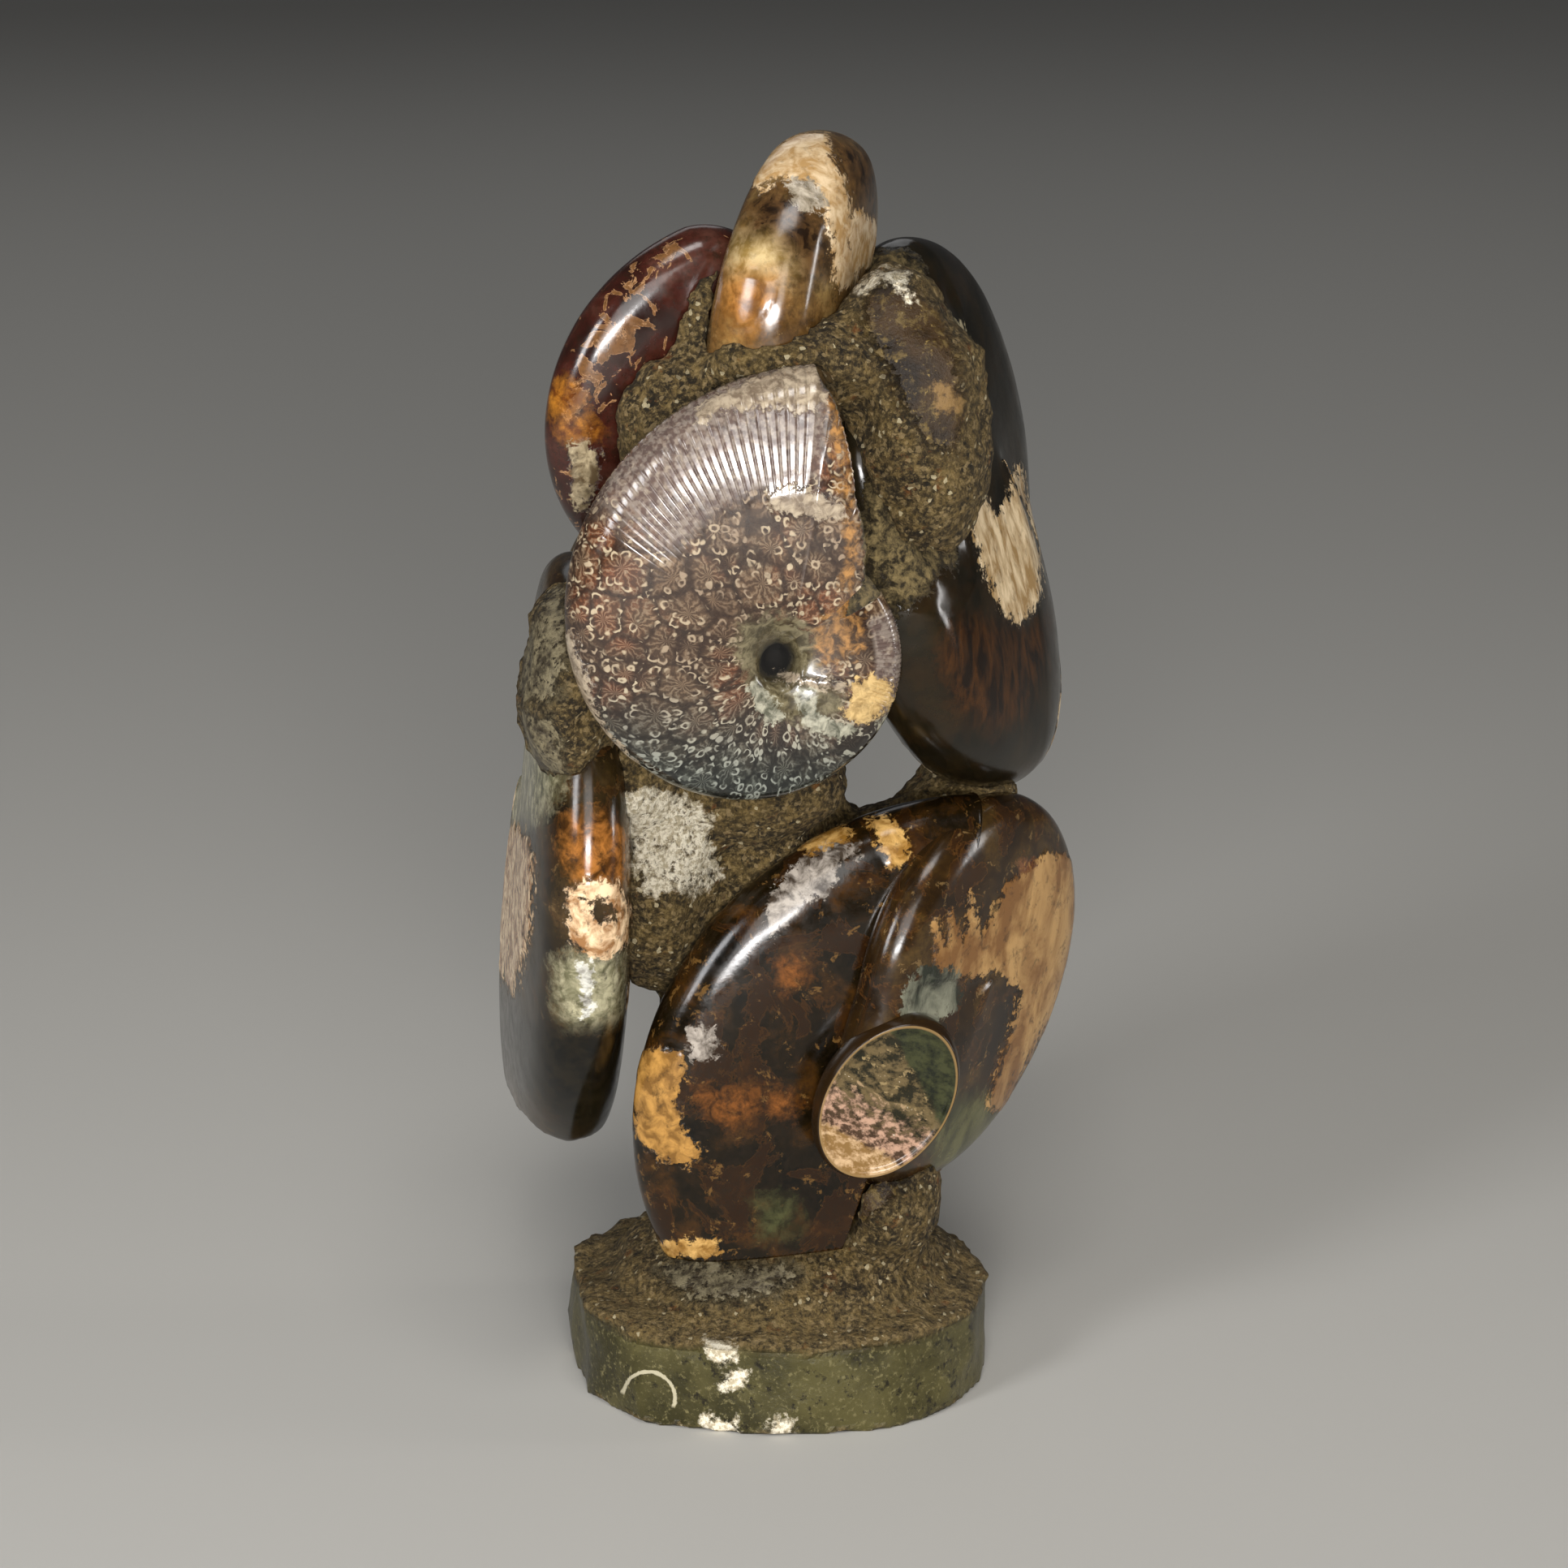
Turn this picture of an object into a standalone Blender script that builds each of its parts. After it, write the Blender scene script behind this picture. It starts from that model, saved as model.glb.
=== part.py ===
"""Cleoniceras ammonite cluster: nine polished shells standing out of one carved body of rock.

Metres, +Z up, +X to the right, +Y away from the front. The origin is the centre of the flat foot.
"""
import math

import bmesh
import bpy
import numpy as np
from mathutils import Vector, noise

MM = 0.001

# Foot and rock, in mm; the share is of the triangles kept after the rock is roughened
FOOT_CENTRE = (-1.0, 0.0)
FOOT_HALF_WIDTH = 39.0
FOOT_HALF_DEPTH = 33.5
FOOT_HEIGHT = 18.0
ROCK_VOXEL = 2.0
ROCK_SHARE = 0.05
ROCK_LUMP_HEIGHT = 1.5
FIT_GAP = 0.35

# Angle over which the last whorl steps down to the older one: sharp where the aperture is seen, long
# where it was ground away. The broken aperture of the front shell is given as degrees ahead of the
# aperture and the share of the radius still there
APERTURE_STEP = math.radians(2.5)
GROUND_STEP = math.radians(70.0)
OPEN_SHELLS = ("ammonite_front", "ammonite_back")
BREAK_AHEAD = (0.0, 7.0, 15.0, 25.0, 45.0, 58.0)
BREAK_REACH = (1.0, 0.83, 0.63, 0.49, 0.31, 0.25)
SWEPT_SHELLS = ("ammonite_front",)

# Height from the coil centre, in mm, where the left and the top shell are broken off below
BROKEN_ENDS = {"ammonite_left": -60.0, "ammonite_top": -23.0}

# Lower front shell: the planes where it was cut off, each as a point in the plane of the coil, in mm from
# its centre, and the direction that the cut faces
CUT_PLANES = {"ammonite_lower_front": (((-8.5, 0.0), (1.0, -0.34)), ((0.0, -18.5), (0.0, -1.0)))}

# Right shell: span in degrees round the coil, and depth in mm, of the skin lost from its upper front
SCARRED_SHELL = "ammonite_right"
SCAR_FROM = 92.0
SCAR_TO = 205.0
SCAR_DEPTH = 2.6

# Cross profile shared by every shell: distance from the coil centre against height of the flank, both
# as shares of the full size
PROFILE_REACH = (0.0, 0.07, 0.19, 0.34, 0.50, 0.66, 0.80, 0.91, 0.975, 1.0)
PROFILE_RISE = (0.42, 0.60, 0.92, 1.0, 0.995, 0.94, 0.83, 0.66, 0.38, 0.0)
FILLED_RISE = (1.04, 1.04, 1.03, 1.01, 0.98, 0.92, 0.81, 0.65, 0.38, 0.0)

# Shells: name, centre in mm, yaw and tilt of the flank normal in degrees, direction of the aperture
# in the plane of the coil in degrees, aperture radius in mm, growth of the radius in one turn, half
# thickness as a share of the radius, sense of growth, meridians, rings
SHELLS = (
    ("ammonite_front", (-0.8, -29.0, 150.0), 9, 0, 83, 49.5, 3.0, 0.225, -1, 30, 16),
    ("ammonite_top", (3.8, 8.0, 204.5), 74, 8, 235, 38.0, 2.0, 0.34, 1, 22, 12),
    ("ammonite_upper_left", (-11.5, 0.0, 179.0), 24, 5, 100, 40.0, 2.5, 0.22, -1, 22, 10),
    ("ammonite_right", (29.5, 22.0, 168.5), 72, -13, 262, 60.0, 2.0, 0.25, 1, 32, 14),
    ("ammonite_left", (-40.8, 20.0, 110.0), -83, -2.5, 272, 74.0, 3.0, 0.18, -1, 28, 12),
    ("ammonite_lower_front", (24.0, -8.0, 50.0), 18, 0, 80, 65.0, 2.0, 0.175, -1, 32, 12),
    ("ammonite_lower_right", (31.5, -2.0, 80.0), 56, 8, 240, 43.0, 1.6, 0.23, -1, 28, 12),
    ("ammonite_back", (-8.0, 34.0, 128.0), 184, 0, 60, 42.0, 3.0, 0.22, 1, 22, 10),
)
SHELL_COLOURS = {
    "ammonite_front": ("mauve_grey_shell", (0.13, 0.11, 0.11)),
    "ammonite_top": ("cream_shell", (0.42, 0.31, 0.20)),
    "ammonite_upper_left": ("maroon_shell", (0.10, 0.045, 0.04)),
    "ammonite_right": ("black_green_shell", (0.045, 0.045, 0.035)),
    "ammonite_left": ("tan_nacre_shell", (0.36, 0.30, 0.21)),
    "ammonite_lower_front": ("dark_amber_shell", (0.07, 0.035, 0.018)),
    "ammonite_lower_right": ("flamed_brown_shell", (0.28, 0.16, 0.08)),
    "ammonite_back": ("slate_grey_shell", (0.12, 0.12, 0.12)),
}

# Ground section of a small shell: centre, half axes in mm, roll of the long axis in degrees
SECTION_CENTRE = (18.3, -26.6, 64.2)
SECTION_HALF_AXES = (16.5, 11.8, 10.0)
SECTION_ROLL = -58.0
SECTION_YAW = 8.0
SECTION_FACE = 2.5

# Order of the pockets in the rock, and the pairs of shells that touch: the first is cut by the second
CUT_ORDER = (
    "ammonite_front",
    "ammonite_top",
    "ammonite_upper_left",
    "ammonite_right",
    "ammonite_left",
    "ammonite_lower_front",
    "ammonite_lower_right",
    "ammonite_back",
    "whorl_section",
)
SHELL_CUTS = (
    ("ammonite_top", "ammonite_front"),
    ("ammonite_upper_left", "ammonite_front"),
    ("ammonite_upper_left", "ammonite_top"),
    ("ammonite_right", "ammonite_front"),
    ("ammonite_right", "ammonite_top"),
    ("ammonite_left", "ammonite_front"),
    ("ammonite_lower_front", "ammonite_lower_right"),
    ("ammonite_lower_front", "whorl_section"),
    ("ammonite_lower_right", "whorl_section"),
    ("ammonite_back", "ammonite_left"),
    ("ammonite_back", "ammonite_right"),
)

# Lumps of rock: centre and half axes in mm
ROCK_LUMPS = (
    ((0.0, 2.0, 17.0), (33.0, 29.0, 13.0)),
    ((0.0, 3.0, 34.0), (23.0, 21.0, 22.0)),
    ((17.0, -6.0, 38.0), (12.5, 16.5, 15.0)),
    ((2.0, 10.0, 66.0), (25.0, 22.0, 30.0)),
    ((20.0, 14.0, 84.0), (18.0, 18.0, 22.0)),
    ((-12.0, 8.0, 100.0), (24.0, 22.0, 30.0)),
    ((-24.0, -6.0, 100.0), (13.0, 17.0, 24.0)),
    ((-8.0, -6.0, 118.0), (20.0, 14.0, 12.0)),
    ((22.0, 3.0, 99.0), (13.0, 12.0, 11.0)),
    ((34.0, 10.0, 110.0), (10.0, 11.0, 8.0)),
    ((-20.0, 24.0, 128.0), (20.0, 16.0, 26.0)),
    ((-37.5, -17.0, 138.0), (9.0, 18.0, 19.0)),
    ((-29.0, -13.0, 121.0), (10.0, 13.0, 14.0)),
    ((-8.0, 8.0, 140.0), (22.0, 20.0, 30.0)),
    ((20.0, -12.0, 149.0), (7.0, 12.0, 17.0)),
    ((11.0, -7.0, 142.0), (10.0, 11.0, 13.0)),
    ((4.0, 8.0, 172.0), (26.0, 22.0, 26.0)),
    ((23.0, -13.0, 183.0), (13.0, 15.5, 24.0)),
    ((19.0, -9.0, 202.0), (9.5, 11.0, 11.0)),
    ((-18.0, -15.0, 185.0), (11.5, 10.0, 13.0)),
    ((-12.0, -5.0, 200.0), (9.5, 12.0, 15.0)),
    ((4.0, 4.0, 186.0), (14.0, 14.0, 14.0)),
    ((1.0, -15.0, 196.5), (17.0, 13.5, 9.5)),
)


def clear_scene():
    for item in list(bpy.data.objects):
        bpy.data.objects.remove(item, do_unlink=True)
    for group in list(bpy.data.collections):
        bpy.data.collections.remove(group)


def make_collection(name):
    group = bpy.data.collections.new(name)
    bpy.context.scene.collection.children.link(group)
    return group


def make_material(name, colour, roughness):
    material = bpy.data.materials.new(name)
    material.use_nodes = True
    shader = material.node_tree.nodes["Principled BSDF"]
    shader.inputs["Base Color"].default_value = (colour[0], colour[1], colour[2], 1.0)
    shader.inputs["Roughness"].default_value = roughness
    return material


def add_object(name, mesh, group, material):
    item = bpy.data.objects.new(name, mesh)
    group.objects.link(item)
    if material is not None:
        mesh.materials.clear()
        mesh.materials.append(material)
    return item


def coil_radius(size, growth, turn):
    """Logarithmic spiral: the radius falls by the growth factor in one turn back from the aperture."""
    return size * growth ** (-turn / math.tau)


def half_profile(turn, name, size, growth, bulge, rings):
    """Distance from the coil centre and height of the flank along one meridian, centre to venter.

    Where the aperture edge is swept, the outer whorl runs on ahead of the aperture as far as its broken
    edge and drops there as a wall, instead of following the older whorl."""
    places = np.linspace(0.0, 1.0, len(PROFILE_REACH))
    steps = np.linspace(0.0, 1.0, rings // 2 + 1)
    reach = np.interp(steps, places, PROFILE_REACH)
    if name not in OPEN_SHELLS:
        left = math.tau - GROUND_STEP
        full = coil_radius(size, growth, min(turn, left))
        share = max(0.0, (turn - left) / GROUND_STEP)
        full += (size - full) * share * share * (3.0 - 2.0 * share)
        middle = coil_radius(size, growth, math.pi)
        rise = np.interp(steps, places, FILLED_RISE)
        return reach * full, rise * bulge * (middle + (full - middle) * np.sqrt(reach))
    rise = np.interp(steps, places, PROFILE_RISE)
    full = coil_radius(size, growth, turn)
    away = reach * full
    height = rise * bulge * full
    ahead = math.tau - turn
    if name in SWEPT_SHELLS and turn > math.pi:
        lip = size * float(np.interp(math.degrees(ahead), BREAK_AHEAD, BREAK_REACH))
        if lip > full:
            lip_height = float(np.interp(lip / size, PROFILE_REACH, PROFILE_RISE)) * bulge * size
            wall = reach * size > lip
            away = np.where(wall, lip, reach * size)
            drop = (1.0 - reach) / (1.0 - lip / size)
            height = np.where(wall, lip_height * drop, rise * bulge * size)
    return away, height


def grow_profile(away, height, gap):
    """Moves each point of a half profile outward, square to the line through its neighbours."""
    along = np.gradient(away)
    climb = np.gradient(height)
    span = np.hypot(along, climb)
    out_away = away - gap * climb / span
    out_height = height + gap * along / span
    out_away[0] = 0.0
    out_height[0] = height[0] + gap
    out_away[-1] = away[-1] + gap
    out_height[-1] = 0.0
    return out_away, out_height


def scar_depth(angle, reach, side):
    """Depth in mm by which the upper front of the right shell has lost its polished skin: most on the
    venter and on the flank turned to the centre, none on the outer flank."""
    degrees = math.degrees(angle) % 360.0
    along = min(1.0, max(0.0, (degrees - SCAR_FROM) / 12.0)) * min(1.0, max(0.0, (SCAR_TO - degrees) / 12.0))
    across = min(1.0, max(0.0, (reach - (0.62 if side > 0 else 0.25)) / 0.12))
    grain = 0.6 + 0.9 * noise.noise(Vector((degrees * 0.09, reach * 9.0, side)))
    return SCAR_DEPTH * along * across * max(0.0, grain)


def shell_mesh(name, aperture, size, growth, bulge, sense, meridians, rings, gap):
    """A ball drawn out to a coiled shell: each meridian takes the spiral's radius at its own angle, each
    ring its place on the flank; the last meridian meets the first at the step of the aperture."""
    form = bmesh.new()
    bmesh.ops.create_uvsphere(form, u_segments=meridians, v_segments=rings, radius=1.0)
    shares = np.linspace(0.0, 1.0, meridians)
    if name in SWEPT_SHELLS:
        shares = np.interp(shares, (0.0, 0.7, 1.0), (0.0, 0.83, 1.0))
    turns = [(math.tau - APERTURE_STEP) * share for share in shares]
    if name not in OPEN_SHELLS:
        turns = [math.tau * step / meridians for step in range(meridians)]
    profiles = [half_profile(turn, name, size, growth, bulge, rings) for turn in turns]
    plain = profiles
    if gap > 0.0:
        last = len(turns) - 1
        profiles = [
            grow_profile(away, height, 2.5 * gap if name in OPEN_SHELLS and step in (0, last) else gap)
            for step, (away, height) in enumerate(profiles)
        ]
    pole_height = profiles[meridians // 2][1][0]
    for vert in form.verts:
        longitude = (math.atan2(vert.co.y, vert.co.x) - math.pi / 2) % math.tau
        step = round(longitude / math.tau * meridians) % meridians
        latitude = math.asin(max(-1.0, min(1.0, vert.co.z)))
        ring = round((1.0 - abs(latitude) / (math.pi / 2)) * (rings // 2))
        away, height = profiles[step]
        at_step = name in OPEN_SHELLS and step in (0, meridians - 1)
        ahead = gap / (0.2 * size) if at_step else 0.0
        angle = math.radians(aperture) - sense * (turns[step] - ahead)
        side = 1.0 if vert.co.z > 0 else -1.0
        rise = height[ring] if ring > 0 else pole_height
        reach = away[ring]
        if name == SCARRED_SHELL:
            scar = scar_depth(angle, plain[step][0][ring] / size, side)
            reach -= scar
            rise -= 0.6 * scar
        across, up = reach * math.cos(angle), reach * math.sin(angle)
        if name in BROKEN_ENDS:
            end = BROKEN_ENDS[name] - gap + 1.2 * noise.noise(Vector((across, side * rise, 0.0)) * 0.12)
            up = max(up, end)
        vert.co = Vector((across, -side * rise, up)) * MM
    for point, out in CUT_PLANES.get(name, ()):
        facing = Vector((out[0], 0.0, out[1])).normalized()
        place_on = (Vector((point[0], 0.0, point[1])) + facing * gap) * MM
        whole = list(form.verts) + list(form.edges) + list(form.faces)
        bmesh.ops.bisect_plane(form, geom=whole, plane_co=place_on, plane_no=facing, clear_outer=True)
        open_edges = [edge for edge in form.edges if edge.is_boundary]
        bmesh.ops.holes_fill(form, edges=open_edges, sides=0)
    form.normal_update()
    bmesh.ops.recalc_face_normals(form, faces=form.faces)
    bmesh.ops.triangulate(form, faces=form.faces, quad_method="FIXED")
    mesh = bpy.data.meshes.new(name)
    form.to_mesh(mesh)
    form.free()
    mesh.shade_smooth()
    mesh.set_sharp_from_angle(angle=math.radians(40.0))
    return mesh


def section_mesh(gap):
    """An oval pebble of shell, its front ground to a flat oval face."""
    form = bmesh.new()
    bmesh.ops.create_uvsphere(form, u_segments=18, v_segments=8, radius=1.0)
    for vert in form.verts:
        side, back, up = vert.co.x, vert.co.z, vert.co.y
        place = Vector((side * SECTION_HALF_AXES[0], back * SECTION_HALF_AXES[2], up * SECTION_HALF_AXES[1]))
        place.y = max(place.y, -SECTION_FACE)
        vert.co = place
    form.normal_update()
    bmesh.ops.recalc_face_normals(form, faces=form.faces)
    form.normal_update()
    for vert in form.verts:
        vert.co = (vert.co + vert.normal * gap) * MM
    mesh = bpy.data.meshes.new("whorl_section")
    form.to_mesh(mesh)
    form.free()
    return mesh


def rock_mesh():
    """Overlapping lumps and the slab of the foot, as closed skins that the remesh joins to one body."""
    form = bmesh.new()
    for centre, half in ROCK_LUMPS:
        ball = bmesh.ops.create_icosphere(form, subdivisions=3, radius=1.0)["verts"]
        for vert in ball:
            swell = 1.0 + 0.10 * noise.noise(vert.co * 1.7 + Vector(centre) * 0.1)
            vert.co = Vector([(c + h * q * swell) * MM for c, h, q in zip(centre, half, vert.co)])
    slab = bmesh.ops.create_cone(form, cap_ends=True, segments=64, radius1=1.0, radius2=1.0, depth=1.0)["verts"]
    for vert in slab:
        angle = math.atan2(vert.co.y, vert.co.x)
        round_off = (abs(math.cos(angle)) ** 2.5 + abs(math.sin(angle)) ** 2.5) ** (-1 / 2.5)
        chip = 1.0 + 0.045 * noise.noise(Vector((math.cos(angle) * 3.0, math.sin(angle) * 3.0, 0.4)))
        out = round_off * chip
        vert.co = Vector((
            (FOOT_CENTRE[0] + out * FOOT_HALF_WIDTH * math.cos(angle)) * MM,
            (FOOT_CENTRE[1] + out * FOOT_HALF_DEPTH * math.sin(angle)) * MM,
            FOOT_HEIGHT * MM if vert.co.z > 0 else -4.0 * MM,
        ))
    mesh = bpy.data.meshes.new("matrix")
    form.to_mesh(mesh)
    form.free()
    return mesh


def add_cut(target, cutter):
    cut = target.modifiers.new("cut_" + cutter.name, "BOOLEAN")
    cut.operation = "DIFFERENCE"
    cut.solver = "EXACT"
    cut.object = cutter


def place(item, centre, yaw, tilt=0.0, roll=0.0):
    item.location = Vector(centre) * MM
    item.rotation_euler = (math.radians(tilt), math.radians(roll), math.radians(yaw))


def build():
    clear_scene()
    parts = make_collection("cleoniceras_ammonite_cluster")
    tools = make_collection("cutters")
    cutters = {}
    shells = {}
    for name, centre, yaw, tilt, aperture, size, growth, bulge, sense, meridians, rings in SHELLS:
        for gap, group in ((0.0, parts), (FIT_GAP, tools)):
            mesh = shell_mesh(name, aperture, size, growth, bulge, sense, meridians, rings, gap)
            if gap == 0.0:
                label, colour = SHELL_COLOURS[name]
                shells[name] = add_object(name, mesh, group, make_material(label, colour, 0.25))
                place(shells[name], centre, yaw, tilt)
            else:
                cutters[name] = add_object(name + "_pocket", mesh, group, None)
                place(cutters[name], centre, yaw, tilt)
    section_material = make_material("ground_calcite", (0.30, 0.28, 0.24), 0.3)
    shells["whorl_section"] = add_object("whorl_section", section_mesh(0.0), parts, section_material)
    cutters["whorl_section"] = add_object("whorl_section_pocket", section_mesh(FIT_GAP), tools, None)
    for item in (shells["whorl_section"], cutters["whorl_section"]):
        place(item, SECTION_CENTRE, SECTION_YAW, 0.0, SECTION_ROLL)

    # Ground plane cutter keeps the foot flat
    ground_form = bmesh.new()
    bmesh.ops.create_cube(ground_form, size=1.0)
    for vert in ground_form.verts:
        vert.co = Vector((vert.co.x * 0.2, vert.co.y * 0.2, vert.co.z * 0.04 - 0.02))
    ground_mesh = bpy.data.meshes.new("ground")
    ground_form.to_mesh(ground_mesh)
    ground_form.free()
    ground = add_object("ground_cutter", ground_mesh, tools, None)

    # Rock: lumps joined, softened, roughened, thinned, then cut by the ground and by every shell
    rock = add_object("matrix", rock_mesh(), parts, make_material("gritty_matrix_rock", (0.13, 0.12, 0.09), 0.85))
    join = rock.modifiers.new("join", "REMESH")
    join.mode = "VOXEL"
    join.voxel_size = ROCK_VOXEL * MM
    soften = rock.modifiers.new("soften", "SMOOTH")
    soften.factor = 0.5
    soften.iterations = 5
    lumps = bpy.data.textures.new("rock_lumps", "CLOUDS")
    lumps.noise_scale = 0.013
    lumps.noise_depth = 2
    roughen = rock.modifiers.new("roughen", "DISPLACE")
    roughen.texture = lumps
    roughen.texture_coords = "LOCAL"
    roughen.strength = 2.0 * ROCK_LUMP_HEIGHT * MM
    thin = rock.modifiers.new("thin", "DECIMATE")
    thin.ratio = ROCK_SHARE
    add_cut(rock, ground)
    for name in CUT_ORDER:
        add_cut(rock, cutters[name])

    # Where two shells meet, the one behind is cut back round the one in front
    for behind, front in SHELL_CUTS:
        add_cut(shells[behind], cutters[front])
    for item in tools.objects:
        item.hide_render = True
        item.display_type = "WIRE"


build()
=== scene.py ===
"""Cleoniceras ammonite cluster: polished shells standing out of gritty rock on a sawn foot.

Shapes are worked out in millimetres and put into the meshes in metres.
"""
import math

import bpy
import numpy as np
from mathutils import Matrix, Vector


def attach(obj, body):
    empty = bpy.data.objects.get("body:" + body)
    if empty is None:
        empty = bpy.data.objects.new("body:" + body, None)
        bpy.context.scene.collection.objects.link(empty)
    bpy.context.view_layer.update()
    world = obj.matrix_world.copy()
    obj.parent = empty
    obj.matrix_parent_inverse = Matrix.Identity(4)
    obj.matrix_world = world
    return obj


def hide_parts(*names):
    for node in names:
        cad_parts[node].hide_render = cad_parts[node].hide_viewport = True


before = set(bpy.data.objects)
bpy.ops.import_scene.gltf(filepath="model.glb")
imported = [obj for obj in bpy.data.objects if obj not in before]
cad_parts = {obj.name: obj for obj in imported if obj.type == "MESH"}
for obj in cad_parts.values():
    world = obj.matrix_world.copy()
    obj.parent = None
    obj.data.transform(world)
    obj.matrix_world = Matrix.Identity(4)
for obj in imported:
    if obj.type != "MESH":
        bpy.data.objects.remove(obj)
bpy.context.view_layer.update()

MM = 0.001
BODY = "root"
COLLECTION = bpy.data.collections.new("cleoniceras_ammonite_cluster")
bpy.context.scene.collection.children.link(COLLECTION)

# The picture: its width in pixels, the camera's focal length in those pixels, its distance, its angle
# above the horizon and the height that it looks at
PICTURE = 1932.0
FOCAL = 5400.0
CAMERA_DISTANCE = 800.0
CAMERA_RISE = math.radians(18.0)
CAMERA_AIM = np.array((0.0, 0.0, 114.6))
CAMERA_BACK = np.array((0.0, -math.cos(CAMERA_RISE), math.sin(CAMERA_RISE)))
CAMERA_UP = np.array((0.0, math.sin(CAMERA_RISE), math.cos(CAMERA_RISE)))
CAMERA_PLACE = CAMERA_AIM + CAMERA_DISTANCE * CAMERA_BACK
PIXELS_PER_MM = FOCAL / CAMERA_DISTANCE

# Distances in mm from the edge of a patch go no further than the limit, and they fall by this much for
# each unit that a surface turns away from the camera
PATCH_LIMIT = 8.0
TURNED_AWAY = 40.0


# Numbers on whole arrays

def linear(text):
    """An sRGB hex colour as linear red, green, blue and full opacity."""
    parts = np.array([int(text[i:i + 2], 16) for i in (0, 2, 4)]) / 255.0
    low = parts / 12.92
    high = ((parts + 0.055) / 1.055) ** 2.4
    return tuple(np.where(parts <= 0.04045, low, high)) + (1.0,)


def cell_values(x, y, z, seed):
    """A fixed scrambled number from -1 to 1 for each cell of a cubic lattice."""
    code = (x * 374761393 + y * 668265263 + z * 2246822519 + seed * 1442695041) & 0xFFFFFFFF
    code = ((code ^ (code >> 13)) * 1274126177) & 0xFFFFFFFF
    code = ((code ^ (code >> 15)) * 2246822519) & 0xFFFFFFFF
    code = code ^ (code >> 16)
    return code / 2147483647.5 - 1.0


def rough(points, size, seed, octaves=1):
    """Soft lumps of that size in mm: lattice values blended by a smooth step, from -1 to 1; each further
    octave is half as large and half as strong."""
    total = np.zeros(points.shape[:-1])
    weight = 1.0
    whole = 0.0
    for octave in range(octaves):
        spot = points / (size / 2 ** octave)
        base = np.floor(spot).astype(np.int64)
        part = spot - base
        part = part * part * (3.0 - 2.0 * part)
        value = np.zeros(points.shape[:-1])
        for corner in range(8):
            step = (corner & 1, corner >> 1 & 1, corner >> 2 & 1)
            share = np.ones(points.shape[:-1])
            for axis in range(3):
                share = share * (part[..., axis] if step[axis] else 1.0 - part[..., axis])
            value += share * cell_values(
                base[..., 0] + step[0], base[..., 1] + step[1], base[..., 2] + step[2], seed + 7 * octave)
        total += weight * value
        whole += weight
        weight *= 0.5
    return total / whole


def step_up(value, low, high):
    """0 below low, 1 above high, a smooth step between."""
    part = np.clip((value - low) / (high - low), 0.0, 1.0)
    return part * part * (3.0 - 2.0 * part)


def smooth_curve(places, knots, values, level_start=False, level_end=False):
    """A smooth curve through the knots, cubic between each two, with the slope of its neighbours."""
    knots = np.asarray(knots, float)
    values = np.asarray(values, float)
    slopes = np.gradient(values, knots)
    if level_start:
        slopes[0] = 0.0
    if level_end:
        slopes[-1] = 0.0
    left = np.clip(np.searchsorted(knots, places, side="right") - 1, 0, len(knots) - 2)
    span = knots[left + 1] - knots[left]
    part = (places - knots[left]) / span
    square = part * part
    cube = square * part
    return ((2 * cube - 3 * square + 1) * values[left] + (cube - 2 * square + part) * span * slopes[left]
            + (3 * square - 2 * cube) * values[left + 1] + (cube - square) * span * slopes[left + 1])


def in_picture(points):
    """Where points fall in the picture, in its pixels, seen from the camera's place."""
    away = points - CAMERA_PLACE
    depth = -(away @ CAMERA_BACK)
    across = PICTURE / 2 + FOCAL * away[..., 0] / depth
    down = PICTURE / 2 - FOCAL * (away @ CAMERA_UP) / depth
    return np.stack((across, down), axis=-1)


def inside_depth(spots, outline):
    """Distance in mm of picture places from an outline's edge, above zero inside it."""
    outline = np.asarray(outline, float)
    result = np.full(len(spots), -PATCH_LIMIT)
    margin = 60.0
    low = outline.min(axis=0) - margin
    high = outline.max(axis=0) + margin
    near = np.all((spots > low) & (spots < high), axis=1)
    spot = spots[near]
    if not len(spot):
        return result
    nearest = np.full(len(spot), 1e9)
    inside = np.zeros(len(spot), bool)
    for start, end in zip(outline, np.roll(outline, -1, axis=0)):
        edge = end - start
        part = np.clip(((spot - start) @ edge) / (edge @ edge), 0.0, 1.0)
        nearest = np.minimum(nearest, np.hypot(*(spot - start - part[:, None] * edge).T))
        crosses = (start[1] > spot[:, 1]) != (end[1] > spot[:, 1])
        drop = np.where(abs(edge[1]) > 1e-9, edge[1], 1e-9)
        inside ^= crosses & (spot[:, 0] < start[0] + (spot[:, 1] - start[1]) * edge[0] / drop)
    result[near] = np.where(inside, nearest, -nearest) / PIXELS_PER_MM
    return np.maximum(result, -PATCH_LIMIT)


# Shells

# Cross profile of every shell: distance from the coil centre against height of the flank, as shares
PROFILE_REACH = (0.0, 0.07, 0.19, 0.34, 0.50, 0.66, 0.80, 0.91, 0.975, 1.0)
PROFILE_RISE = (0.42, 0.60, 0.92, 1.0, 0.995, 0.94, 0.83, 0.66, 0.38, 0.0)
FILLED_RISE = (1.04, 1.04, 1.03, 1.01, 0.98, 0.92, 0.81, 0.65, 0.38, 0.0)
APERTURE_STEP = math.radians(2.5)
GROUND_STEP = math.radians(70.0)
BREAK_AHEAD = (0.0, 7.0, 15.0, 25.0, 45.0, 58.0)
BREAK_REACH = (1.0, 0.83, 0.63, 0.49, 0.31, 0.25)
OPEN_SHELLS = ("ammonite_front", "ammonite_back")

# Where the front shell's meridians lie closer together, for its ribs and its broken edge
MERIDIAN_PLACES = (0.0, 0.40, 0.54, 0.78, 1.0)
MERIDIAN_TURNS = (0.0, 0.21, 0.65, 0.84, 1.0)

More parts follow.
